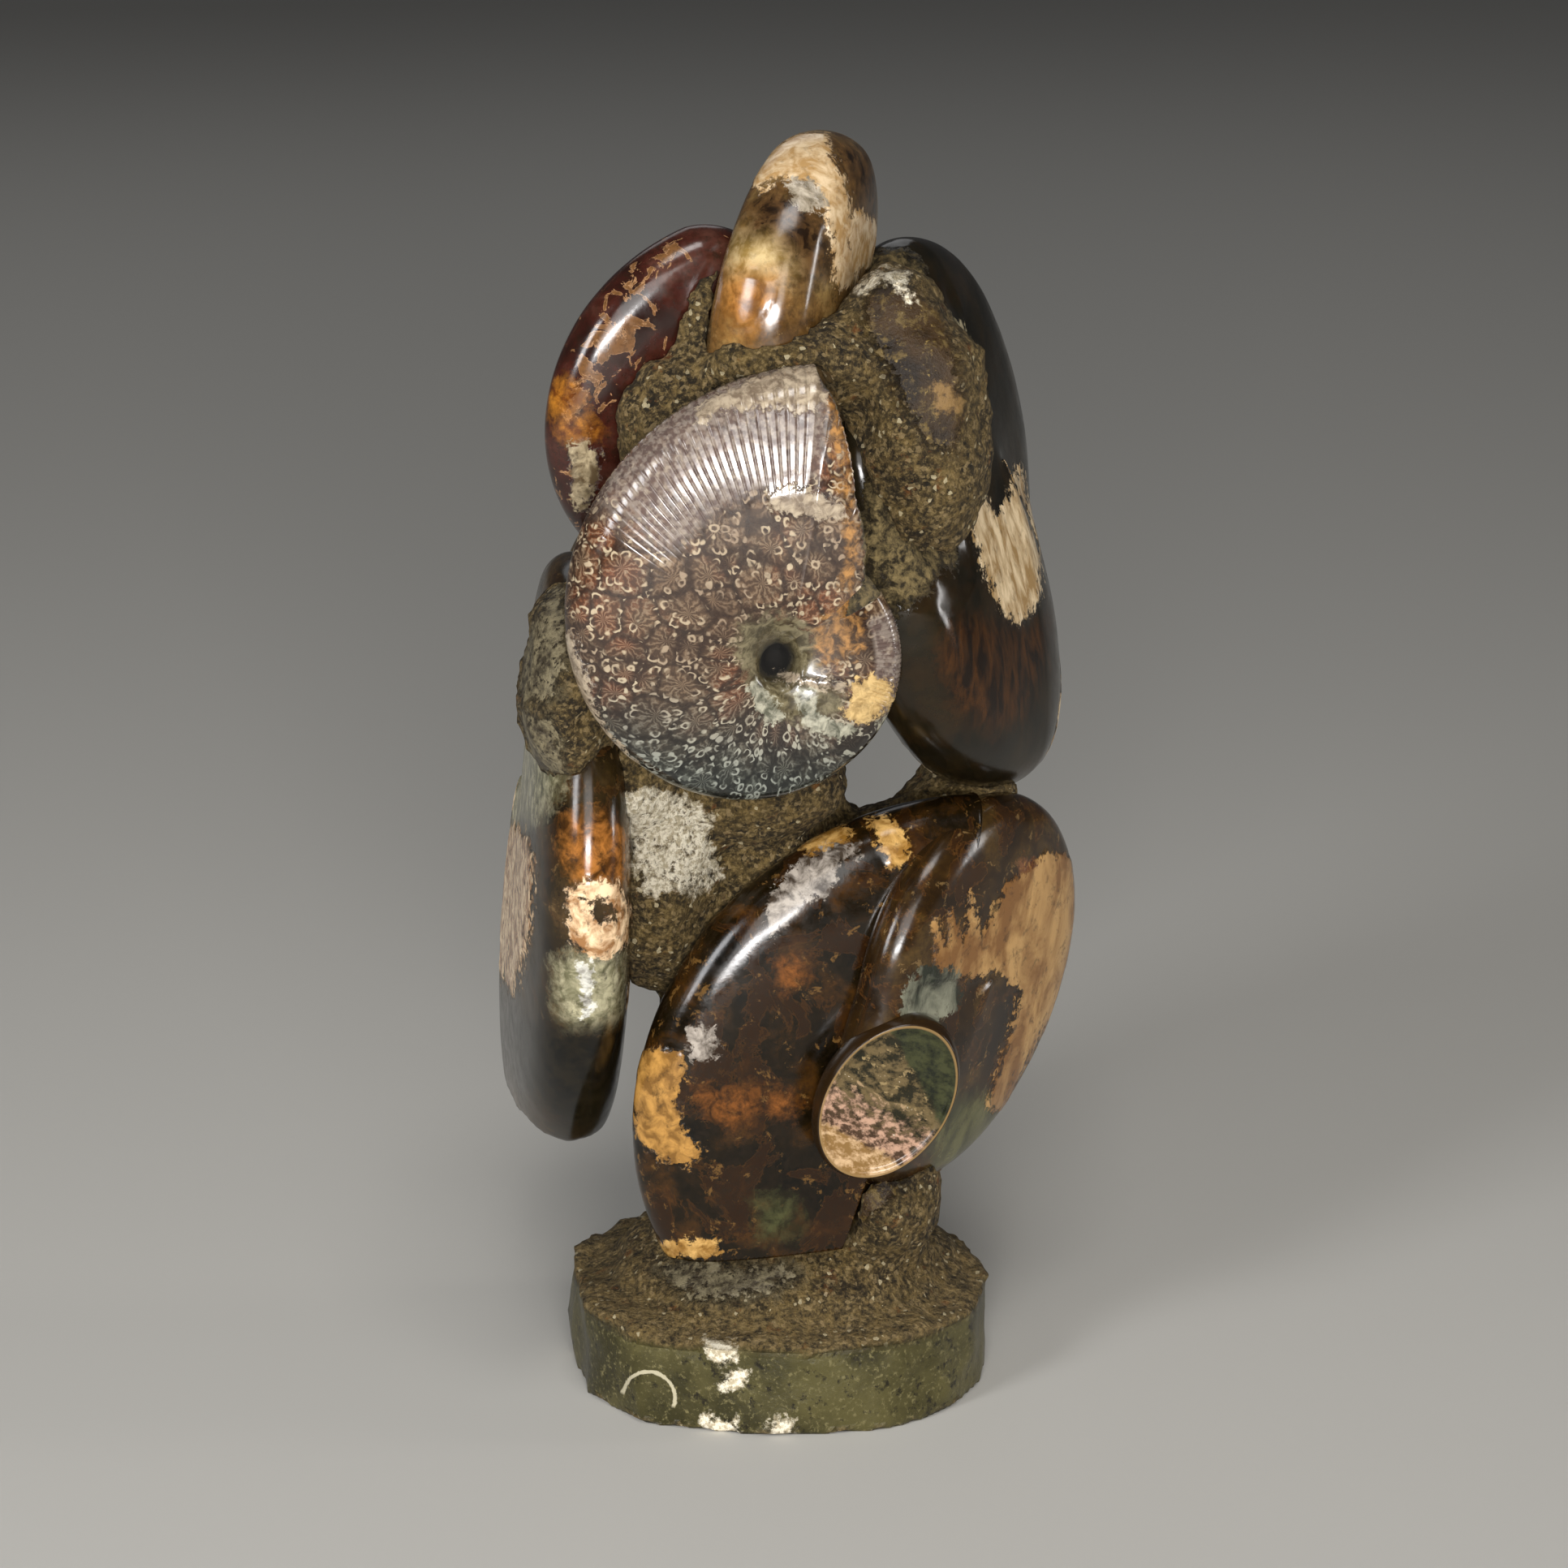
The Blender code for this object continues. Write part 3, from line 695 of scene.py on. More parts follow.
def rosettes(tree, flank, ground):
    """Rosettes of the front shell: cells 7.6 mm wide with frills fanning out from their middles, pale open
    loops 2 mm wide round them that bulge outward, and dark gaps between them."""
    warp = add(tree, "TexNoise", {"Scale": 1 / 2.4, "Detail": 3.0}, {"Vector": flank}, out=1)
    warp = add(tree, "VectorMath", {"operation": "SCALE", "Scale": 1.7}, {0: warp})
    place = add(tree, "VectorMath", {"operation": "ADD"}, {0: flank, 1: warp})
    flat = add(tree, "VectorMath", {"operation": "MULTIPLY", 1: (1.0, 0.0, 1.0)}, {0: place})
    big_mm, small_mm = 7.6, 1.95
    big = add(tree, "TexVoronoi", {"Scale": 1 / big_mm, "Randomness": 0.8}, {"Vector": flat}, out=None)
    small = add(tree, "TexVoronoi", {"Scale": 1 / small_mm, "Randomness": 0.75}, {"Vector": flat}, out=None)
    middle, petal = big.outputs["Position"], small.outputs["Position"]
    outward = add(tree, "VectorMath", {"operation": "SUBTRACT"}, {0: petal, 1: middle})
    distance = add(tree, "VectorMath", {"operation": "LENGTH"}, {0: outward}, out="Value")
    outward = add(tree, "VectorMath", {"operation": "NORMALIZE"}, {0: outward})
    inner = add(tree, "VectorMath", {"operation": "SUBTRACT"}, {0: flat, 1: petal})
    radius = add(tree, "VectorMath", {"operation": "LENGTH"}, {0: inner}, out="Value")
    inner = add(tree, "VectorMath", {"operation": "NORMALIZE"}, {0: inner})
    turn = add(tree, "VectorMath", {"operation": "DOT_PRODUCT"}, {0: inner, 1: outward}, out="Value")

    # A loop is a ring 0.72 mm in radius, open on its inner side
    off = add(tree, "Math", {"operation": "SUBTRACT", 1: 0.72}, {0: radius})
    off = add(tree, "Math", {"operation": "ABSOLUTE"}, {0: off})
    loop = add(tree, "MapRange", {1: 0.27, 2: 0.07}, {0: off})
    for value, start, full in ((turn, -0.5, 0.2), (distance, 0.8, 1.7)):
        share = add(tree, "MapRange", {1: start, 2: full}, {0: value})
        loop = add(tree, "Math", {"operation": "MULTIPLY"}, {0: loop, 1: share})

    # Frills: lines at 11 angles round the middle of a rosette, bent by the warp
    away = add(tree, "VectorMath", {"operation": "SUBTRACT"}, {0: flat, 1: middle})
    axes = add(tree, "SeparateXYZ", links={0: away}, out=None)
    angle = add(tree, "Math", {"operation": "ARCTAN2"}, {0: axes.outputs[2], 1: axes.outputs[0]})
    bend = add(tree, "TexNoise", {"Scale": 1 / 1.1, "Detail": 2.0}, {"Vector": flank})
    bend = add(tree, "Math", {"operation": "MULTIPLY", 1: 12.0}, {0: bend})
    angle = add(tree, "Math", {"operation": "MULTIPLY_ADD", 1: 11.0}, {0: angle, 2: bend})
    frill = add(tree, "Math", {"operation": "SINE"}, {0: angle})

    gap = add(tree, "TexVoronoi", {"feature": "DISTANCE_TO_EDGE", "Scale": 1 / big_mm, "Randomness": 0.8},
              {"Vector": flat}, out="Distance")
    drift = add(tree, "TexNoise", {"Scale": 1 / 11.0, "Detail": 3.0}, {"Vector": flank})
    slate = add(tree, "Attribute", {"attribute_name": "slate"}, out="Fac")
    ground = paint(tree, ground, (drift, 0.50, 0.64, "74442A", 0.75), (slate, 0.0, 1.0, "383B35"))
    dark = paint(tree, "2E1F17", (slate, 0.0, 1.0, "101312"))
    pale = paint(tree, "94806A", (drift, 0.36, 0.58, "C0AE90"), (slate, 0.0, 1.0, "90948A"))
    ribs = add(tree, "Attribute", {"attribute_name": "ribs"}, out="Fac")
    ribbed = paint(tree, "665650", (bend, 5.0, 7.0, "92857A"))
    return paint(tree, ground, (frill, 0.0, 0.7, dark, 0.6), (frill, -0.5, -1.0, pale, 0.25),
                 (gap, 0.11, 0.03, dark, 0.85), (radius, 0.5, 0.25, dark, 0.7), (loop, 0.1, 0.8, pale, 0.9),
                 (ribs, 0.1, 0.7, ribbed, 0.8))


COMMON = {
    "cloud_mm": 11.0, "mottle": 0.35, "mottled": "20160C", "leaf_mm": 9.0, "leaf_curl": 0.6,
    "leaf_level": 0.54, "leaf_zone": False, "leaf": 0.6, "leaf_colour": "3A220E", "line": 0.4,
    "line_colour": "7A4E22", "rosettes": False, "rough": 0.11, "gloss": 0.36, "soft": 2.2,
    "grain": (1.0, 1.0, 1.0), "streak_mm": 3.0, "soft_layers": ("teal", "amber", "dark"), "grime": 0.55,
    "grime_colour": "1E150A", "flecks": 0.0, "fleck": "8A6E44", "grit": ("2E2614", "86744C"),
    "teal": ("4A4A34", "8C8868"), "amber": ("5A3208", "A8641C"), "ochre": ("8A5C26", "C4924E"),
    "dark": ("1A1006", "4A3218"), "cream": ("A07E50", "D8BC8C"), "pale": ("7E7A66", "D6CFBC"),
}
LOOKS = {
    "ammonite_front": {
        **COMMON, "deep": "4E3B2C", "body": "69533F", "light": "7E654D", "mottled": "402F23", "mottle": 0.5,
        "leaf": 0.0, "line": 0.0, "rosettes": True, "rough": 0.09, "streak_mm": 1.7, "gloss": 0.6,
        # The front shell's dark layer is the painted shade of its hole
        "grime": 0.35, "dark": ("0A0804", "120E08"), "soft": 1.2, "cream": ("786856", "B4A48C"),
        "amber": ("3E2812", "AC7C44"), "teal": ("463E2A", "80765A"), "ochre": ("A08250", "D2B278"),
        "pale": ("5A5A4C", "B0AC98"),
    },
    "ammonite_top": {
        **COMMON, "deep": "4E3618", "body": "7A5A30", "light": "A0824E", "leaf": 0.2, "line": 0.0,
        "soft": 3.4, "soft_layers": ("teal", "amber", "dark", "ochre"), "amber": ("967A42", "CFB684"),
        "cream": ("B8925E", "E6CCA4"), "dark": ("1E1208", "5A4024"), "ochre": ("744818", "B07838"),
        "pale": ("7A6E5A", "C4B8A4"), "flecks": 0.3, "fleck": "A88858", "gloss": 0.5,
        "teal": ("3A2A14", "6A5230"), "grime": 0.3,
    },
    "ammonite_upper_left": {
        **COMMON, "deep": "240F0A", "body": "3C1A12", "light": "503026", "leaf_mm": 4.5, "leaf_level": 0.50,
        "leaf_curl": 0.9, "leaf_zone": True, "leaf": 0.95, "leaf_colour": "74502E", "line": 0.9,
        "line_colour": "AE845C", "amber": ("6A3A10", "B87828"), "ochre": ("5A3014", "B08450"),
        "cream": ("5A4A34", "B0A080"), "gloss": 0.5,
    },
    "ammonite_right": {
        **COMMON, "deep": "14120A", "body": "1E190E", "light": "2A2010", "mottle": 0.3, "leaf": 0.25,
        "line": 0.0, "leaf_colour": "2C1C0C", "rough": 0.09, "amber": ("180C04", "46290D"),
        # pale: the shell edges at the top of the broken region, their own pale tone with a painted
        # highlight
        "cream": ("A8885A", "F0D8B0"), "pale": ("5A5238", "B4A888"), "grain": (1.0, 1.0, 0.35),
        "gloss": 0.3, "grime": 0.3,
    },
    "ammonite_left": {
        **COMMON, "deep": "1A140A", "body": "302410", "light": "503C20", "leaf": 0.4, "line": 0.2,
        "teal": ("6A674C", "B8B190"), "amber": ("4A2A0A", "A86C30"), "cream": ("9A6E44", "FFDFB4"),
        # pale is the painted highlight streak on the side in view, and pale patches on the far side
        "pale": ("98948A", "F0EEE2"), "ochre": ("4A4430", "8E8464"), "grime": 0.7, "flecks": 0.35,
        "dark": ("060502", "1A150A"),
    },
    "ammonite_lower_front": {
        **COMMON, "deep": "090601", "body": "170F03", "light": "40280D", "leaf": 0.5, "line": 0.3,
        "leaf_colour": "341C08", "line_colour": "5E3A16", "leaf_mm": 13.0, "rough": 0.10, "mottle": 0.5,
        "amber": ("3E2208", "8A5220"), "ochre": ("8A6228", "D0A662"), "cream": ("7A5626", "BC8C48"),
        # The pale layer of this shell is only its painted highlights
        "pale": ("40362C", "B0A69A"), "teal": ("20220E", "464628"), "flecks": 0.75, "fleck": "6E5028",
        "cloud_mm": 9.0, "gloss": 0.34,
    },
    "ammonite_lower_right": {
        **COMMON, "deep": "1C1208", "body": "30200C", "light": "4E3A1A", "leaf": 0.5, "line": 0.3,
        "leaf_mm": 8.0, "cream": ("7E562A", "BC945C"), "amber": ("8A4A2A", "D29668"),
        "teal": ("2A2C16", "62603C"), "pale": ("262A20", "8C8C78"), "grain": (1.0, 1.0, 0.6),
        "streak_mm": 8.0, "flecks": 0.5, "dark": ("241606", "5E4018"),
    },
    "ammonite_back": {
        **COMMON, "deep": "3A3024", "body": "5E503C", "light": "80705A", "leaf": 0.8, "line": 0.5,
        "leaf_colour": "4A3422", "line_colour": "A89470", "leaf_mm": 6.0, "gloss": 0.45, "flecks": 0.4,
    },
}
SLOTS = {
    "ammonite_front": "mauve_grey_shell",
    "ammonite_top": "cream_shell",
    "ammonite_upper_left": "maroon_shell",
    "ammonite_right": "black_green_shell",
    "ammonite_left": "tan_nacre_shell",
    "ammonite_lower_front": "dark_amber_shell",
    "ammonite_lower_right": "flamed_brown_shell",
    "ammonite_back": "slate_grey_shell",
}


def worn_share(name, places, turns, reach, angles):
    """Where the polished skin is lost: the broken edge of the front shell and the scar of the right one."""
    worn = np.zeros(turns.shape)
    if name == "ammonite_front":
        ahead = np.degrees(math.tau - turns)
        size, growth = SHELLS[name][4], SHELLS[name][5]
        share = reach * growth ** (-turns / math.tau)
        lip = np.interp(ahead, BREAK_AHEAD, BREAK_REACH)
        worn = np.where(ahead < 58.0, step_up(share, lip - 0.012, lip - 0.004), 0.0)
    if name == "ammonite_right":
        degrees = angles % 360.0
        along = np.clip((degrees - 92.0) / 12.0, 0, 1) * np.clip((205.0 - degrees) / 12.0, 0, 1)
        count = places.shape[1]
        front = np.arange(count) < count // 2
        worn = along * np.clip((reach - np.where(front, 0.62, 0.25)) / 0.12, 0, 1)
        worn = worn * np.clip(0.6 + 0.9 * rough(places, 11.0, 40, 2), 0, 1)
    return worn


def make_shell(name):
    """One shell: its surface, the relief of its layers, ribs and breaks along the normals, its fields."""
    places, normals, turns, reach, flank, angles = shell_surface(name)
    rows, columns = turns.shape
    seed = 100 + 10 * sorted(SHELLS).index(name)
    worn = worn_share(name, places, turns, reach, angles)
    flat = places.reshape(-1, 3)
    fields = layer_fields(flat, normals.reshape(-1, 3), PATCHES[name], seed, FAR_SIDE[name])
    relief = 0.10 * rough(flat, 9.0, seed + 1, 2)
    relief += 0.22 * step_up(np.maximum(fields["cream"], fields["ochre"]), -0.3, 0.3)
    relief = relief.reshape(rows, columns)
    if name == "ammonite_front":
        # Ribs on the outer third of the last whorl, above and at the lower right, in degrees round the coil
        degrees = angles % 360.0
        upper = step_up(degrees, 79.0, 83.0) * step_up(-degrees, -150.0, -124.0)
        lower = step_up(degrees, 322.0, 330.0) + step_up(-degrees, -20.0, -12.0)
        rib_share = upper * step_up(reach, 0.60, 0.70) + np.clip(lower, 0, 1) * step_up(reach, 0.72, 0.80)
        bend = turns + 0.10 * (reach - 0.8) ** 2
        fields["ribs"] = np.clip(rib_share, 0.0, 1.0).ravel()
        relief -= RIB_DEPTH * rib_share * (0.5 + 0.5 * np.cos(bend * RIBS_PER_TURN)) ** 6

        # The hole is painted near black, painted shade in its recess, and the shell turns to slate from 150
        # mm down to 124 mm
        centre, yaw, tilt = SHELLS[name][:3]
        hole = turned(np.array((HOLE_PLACE[0], 0.0, HOLE_PLACE[1])), yaw, tilt) + centre
        from_hole = np.linalg.norm((flat - hole)[:, (0, 2)], axis=1)
        painted_hole_shade = np.clip(3.0 * (HOLE_RADIUS - 0.2 - from_hole), -PATCH_LIMIT, PATCH_LIMIT)
        fields["dark"] = np.maximum(fields["dark"], painted_hole_shade)
        fields["slate"] = step_up(-flat[:, 2] - 0.1 * flat[:, 0], -150.0, -124.0)
    if name == "ammonite_right":
        relief -= SCAR_DEPTH * worn + 0.9 * worn * rough(places, 3.0, 41, 3)
    else:
        relief += worn * (0.5 * rough(places, 2.5, 42, 3) - 0.2)
    places = places + normals * relief[..., None]
    flat = places.reshape(-1, 3)
    poles = np.stack((places[:, 0].mean(axis=0), places[:, -1].mean(axis=0)))
    points = np.concatenate((flat, poles))
    fields["worn"] = worn.ravel()
    fields["flank"] = flank.reshape(-1, 3)
    ends = {}
    for key, values in fields.items():
        grid = values.reshape(rows, columns, -1)
        tail = np.stack((grid[:, 0].mean(axis=0), grid[:, -1].mean(axis=0)))
        ends[key] = np.concatenate((values, tail if values.ndim == 2 else tail[:, 0]))
    quads, triangles = grid_faces(rows, columns, rows * columns, rows * columns + 1)
    label = SLOTS[name].replace("_shell", "") + "_polished_calcite_shell"
    material = fossil_shell(label, LOOKS[name])
    item = add_mesh(name.replace("ammonite", "shell"), points, quads, triangles, material, ends)
    turn_outward(item.data)
    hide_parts(name)
    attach(item, BODY)


def turn_outward(mesh):
    """Flips every face if the closed skin holds a negative volume."""
    count = len(mesh.vertices)
    places = np.empty(count * 3, np.float32)
    mesh.vertices.foreach_get("co", places)
    places = places.reshape(-1, 3).astype(float)
    mesh.calc_loop_triangles()
    corners = np.empty(len(mesh.loop_triangles) * 3, np.int32)
    mesh.loop_triangles.foreach_get("vertices", corners)
    a, b, c = (places[corners.reshape(-1, 3)[:, k]] for k in range(3))
    if np.sum(a * np.cross(b, c)) < 0:
        mesh.flip_normals()


for shell in SHELLS:
    make_shell(shell)


# Ground section of a small shell

SECTION_CENTRE = (18.3, -26.6, 64.2)
SECTION_HALF_AXES = (16.6, 12.0, 10.0)
SECTION_ROLL = -58.0
SECTION_YAW = 8.0
SECTION_FACE = 3.3


def make_section():
    """An oval pebble: side and height are a ball's, drawn to the half axes; the front is ground flat, with
    the shell wall left as a thin raised rim. Rings run from the middle of the face to the middle of the
    back."""
    around = np.linspace(0, math.tau, 180, endpoint=False)[:, None]
    lean = np.linspace(0.02, math.pi - 0.02, 90)[None, :]
    ball = np.stack((np.sin(lean) * np.cos(around), -np.cos(lean) + 0 * around,
                     np.sin(lean) * np.sin(around)), axis=-1)
    half = np.array((SECTION_HALF_AXES[0], SECTION_HALF_AXES[2], SECTION_HALF_AXES[1]))
    places = ball * half
    ground = places[..., 1] < -SECTION_FACE
    across = np.hypot(places[..., 0] / half[0], places[..., 2] / half[2])
    edge = math.sqrt(1.0 - (SECTION_FACE / half[1]) ** 2)
    share = np.clip(across / edge, 0, 1.2)
    sunk = 0.5 * step_up(-share, -0.93, -0.88)
    places[..., 1] = np.where(ground, -SECTION_FACE + sunk, places[..., 1])
    roll = math.radians(SECTION_ROLL)
    tip = np.array(((math.cos(roll), 0, math.sin(roll)), (0, 1, 0), (-math.sin(roll), 0, math.cos(roll))))
    flat = places.reshape(-1, 3)
    rolled = flat @ tip.T
    world = turned(rolled, SECTION_YAW, 0.0) + np.array(SECTION_CENTRE)
    world += 0.12 * rough(world, 2.2, 61, 3)[:, None] * np.array((0.0, -1.0, 0.0))
    fields = {
        "share": np.where(ground.ravel(), share.ravel(), 1.3),
        "plane": np.stack((rolled[:, 0], rolled[:, 2], flat[:, 0]), axis=-1),
    }
    rows, columns = ground.shape
    grid = world.reshape(rows, columns, 3)
    poles = np.stack((grid[:, 0].mean(axis=0), grid[:, -1].mean(axis=0)))
    points = np.concatenate((world, poles))
    fields["share"] = np.concatenate((fields["share"], (0.0, 1.3)))
    fields["plane"] = np.concatenate((fields["plane"], ((0, 0, 0), (0, 0, 0))))
    quads, triangles = grid_faces(rows, columns, rows * columns, rows * columns + 1)
    item = add_mesh("section", points, quads, triangles, section_material(), fields)
    turn_outward(item.data)
    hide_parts("whorl_section")
    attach(item, BODY)


def section_material():
    """Ground and polished cut through a whorl: a thin peach wall round mottled olive-grey infill, pink and
    cream calcite towards its lower end, and a dark green chamber on its right."""
    material, tree, shader = new_material("ground_calcite_whorl")[:3]
    share = add(tree, "Attribute", {"attribute_name": "share"}, out="Fac")
    plane = add(tree, "Attribute", {"attribute_name": "plane"}, out="Vector")
    axes = add(tree, "SeparateXYZ", links={0: plane}, out=None)
    cloud = add(tree, "TexNoise", {"Scale": 1 / 3.0, "Detail": 7.0, "Roughness": 0.7}, {"Vector": plane})
    other = add(tree, "TexNoise", {"Scale": 1 / 2.1, "Detail": 6.0, "Roughness": 0.66}, {"Vector": plane})
    olive = paint(tree, "1E1B0B", (cloud, 0.44, 0.58, "665638"), (other, 0.58, 0.64, "8E7A54"))
    pink = paint(tree, "443020", (other, 0.44, 0.58, "B8937A"))
    cream = paint(tree, "846438", (cloud, 0.44, 0.58, "C8A880"))
    dark = paint(tree, "14180C", (cloud, 0.40, 0.60, "3A3C22"))

    # Distances in mm along the face and to its right, each made ragged by a noise
    sums = {}
    for key, noise, strength, axis in (
            ("along", other, -18.0, 2), ("right", cloud, 5.0, 0), ("lip", other, -6.0, 2)):
        sums[key] = add(tree, "Math", {"operation": "MULTIPLY_ADD", 1: strength},
                        {0: noise, 2: axes.outputs[axis]})
    right = add(tree, "Math", {"operation": "MULTIPLY_ADD", 1: 0.5}, {0: axes.outputs[1], 2: sums["right"]})
    colour = paint(tree, pink, (sums["along"], -15.0, -10.0, olive), (cloud, 0.66, 0.69, "DCD0B8"),
                   (right, 9.4, 10.2, dark), (sums["lip"], -11.4, -12.6, cream),
                   (share, 0.955, 0.97, "8A6E44", 0.85), (share, 1.02, 1.10, "2A1C0C"))
    set_up(tree, shader, {"Roughness": 0.22, "IOR": 1.54, "Specular IOR Level": 0.35},
           {"Base Color": colour})
    return material


make_section()


# Rock

# Patches of the rock: crystals (one of them a thin edge line that also carries a painted highlight), rust,
# and the parts that were polished with the shells
ROCK_PATCHES = {
    "white": (
        ((768, 985), (800, 970), (840, 985), (872, 1000), (868, 1040), (890, 1080), (850, 1100),
         (800, 1096), (776, 1040)),
        ((876, 1652), (900, 1656), (904, 1680), (886, 1684), (874, 1668)),
        ((888, 1692), (918, 1690), (916, 1704), (892, 1710)),
        ((868, 1752), (906, 1750), (912, 1766), (872, 1768)),
        ((950, 1752), (972, 1752), (974, 1772), (946, 1774)),
        # A thin white line along the top edge of the umber facet: a white edge of its own, with a painted
        # highlight along it
        ((1056, 352), (1086, 336), (1116, 342), (1122, 372), (1116, 372), (1108, 352), (1086, 346),
         (1060, 360)),
    ),
    "ochre": (
        ((1000, 452), (1012, 452), (1042, 510), (1050, 560), (1038, 580), (1030, 530)),
        ((1150, 470), (1172, 476), (1180, 500), (1160, 510)),
    ),
    "teal": (
        ((600, 1020), (606, 940), (616, 880), (640, 870), (680, 880), (700, 930), (692, 965),
         (662, 1010)),
        ((630, 800), (660, 750), (690, 715), (700, 760), (690, 860), (640, 870), (622, 860)),
        ((806, 1566), (840, 1552), (900, 1558), (960, 1554), (984, 1572), (950, 1596), (900, 1606),
         (850, 1600)),
    ),
    "amber": (
        ((985, 1500), (1000, 1450), (1060, 1440), (1130, 1430), (1118, 1456), (1080, 1500), (1042, 1516),
         (1010, 1534)),
        ((1062, 360), (1090, 342), (1120, 350), (1160, 385), (1178, 430), (1190, 500), (1180, 560),
         (1140, 545), (1110, 500), (1085, 440), (1065, 400)),
    ),
}
FOOT_TOP = 18.0
ROCK_SKIN = 1.15
FIT_GAP = 0.45

# A pale ring on the foot's side: its middle in the picture, its radius in mm, and where it ends below
RING_PLACE = (799, 1723)
RING_RADIUS = 4.9
RING_FOOT = 4.0


def make_rock():
    """The rock: the model's own solid, merged, remeshed to an even skin of 1.15 mm, pushed out by the fit
    gap so that it laps on to the shells, and roughened by lumps of 11, 5 and 2.2 mm. The sawn foot keeps a
    smooth side."""
    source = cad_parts["matrix"]
    mesh = source.data.copy()
    mesh.transform(source.matrix_world)
    item = bpy.data.objects.new("rock", mesh)
    COLLECTION.objects.link(item)
    merge = item.modifiers.new("merge", "WELD")
    merge.merge_threshold = 0.00001
    remesh = item.modifiers.new("even_skin", "REMESH")
    remesh.mode = "VOXEL"
    remesh.voxel_size = ROCK_SKIN * MM
    soften = item.modifiers.new("soften", "SMOOTH")
    soften.factor = 0.5
    soften.iterations = 3
    ready = item.evaluated_get(bpy.context.evaluated_depsgraph_get())
    done = bpy.data.meshes.new_from_object(ready)
    item.modifiers.clear()
    item.data = done
    bpy.data.meshes.remove(mesh)
    count = len(done.vertices)
    places = np.empty(count * 3, np.float32)
    done.vertices.foreach_get("co", places)
    places = places.reshape(-1, 3).astype(float) / MM
    normals = np.empty(count * 3, np.float32)
    done.vertex_normals.foreach_get("vector", normals)
    normals = normals.reshape(-1, 3).astype(float)
    side = step_up(-np.abs(normals[:, 2]), -0.55, -0.35)
    side = side * step_up(-places[:, 2], -FOOT_TOP - 1.0, -FOOT_TOP + 2.0)
    under = step_up(-normals[:, 2], 0.6, 0.8) * step_up(-places[:, 2], -2.0, -1.0)
    sawn = np.clip(side + under, 0, 1)
    grit = 0.9 * rough(places, 11.0, 69) + 0.8 * rough(places, 5.0, 71, 2) + 0.7 * rough(places, 2.2, 73, 2)
    push = (FIT_GAP + grit) * (1.0 - sawn) + sawn * 0.12 * rough(places, 4.0, 75, 2)
    push = push * step_up(places[:, 2], 0.2, 1.5)
    spots = in_picture(places)
    facing = facing_camera(places, normals)
    wobble = 0.6 * rough(places, 3.0, 77, 2)
    rubbed = np.zeros(count)
    for layer, outlines in ROCK_PATCHES.items():
        seen = np.full(count, -PATCH_LIMIT)
        for outline in outlines:
            seen = np.maximum(seen, inside_depth(spots, outline))
        seen = np.where(seen > 0.1 - PATCH_LIMIT, seen + wobble, seen)
        seen = seen - TURNED_AWAY * np.maximum(0.0, 0.1 - facing)
        far = 9.0 * (rough(places, 9.0, 79 + len(layer), 2) - 0.62) - TURNED_AWAY * np.maximum(0.0, facing)
        depth = np.clip(np.maximum(seen, far), -PATCH_LIMIT, PATCH_LIMIT)
        done.attributes.new(layer, "FLOAT", "POINT").data.foreach_set("value", depth.astype(np.float32))
        if layer in ("teal", "amber"):
            rubbed = np.maximum(rubbed, 0.85 * step_up(depth, -1.5, 1.5))
    places = places + normals * (push * (1.0 - rubbed))[:, None]
    places[:, 2] = np.maximum(places[:, 2], 0.0)
    done.vertices.foreach_set("co", (places * MM).astype(np.float32).ravel())
    ring = np.hypot(*(spots - np.array(RING_PLACE)).T) / PIXELS_PER_MM - RING_RADIUS
    ring = np.where(facing < 0.1, PATCH_LIMIT, np.clip(ring, -PATCH_LIMIT, PATCH_LIMIT))
    for key, values in (("sawn", sawn), ("height_mm", places[:, 2]), ("ring", ring)):
        done.attributes.new(key, "FLOAT", "POINT").data.foreach_set("value", values.astype(np.float32))
    done.update()
    done.shade_smooth()
    done.materials.clear()
    done.materials.append(rock_material())
    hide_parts("matrix")
    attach(item, BODY)


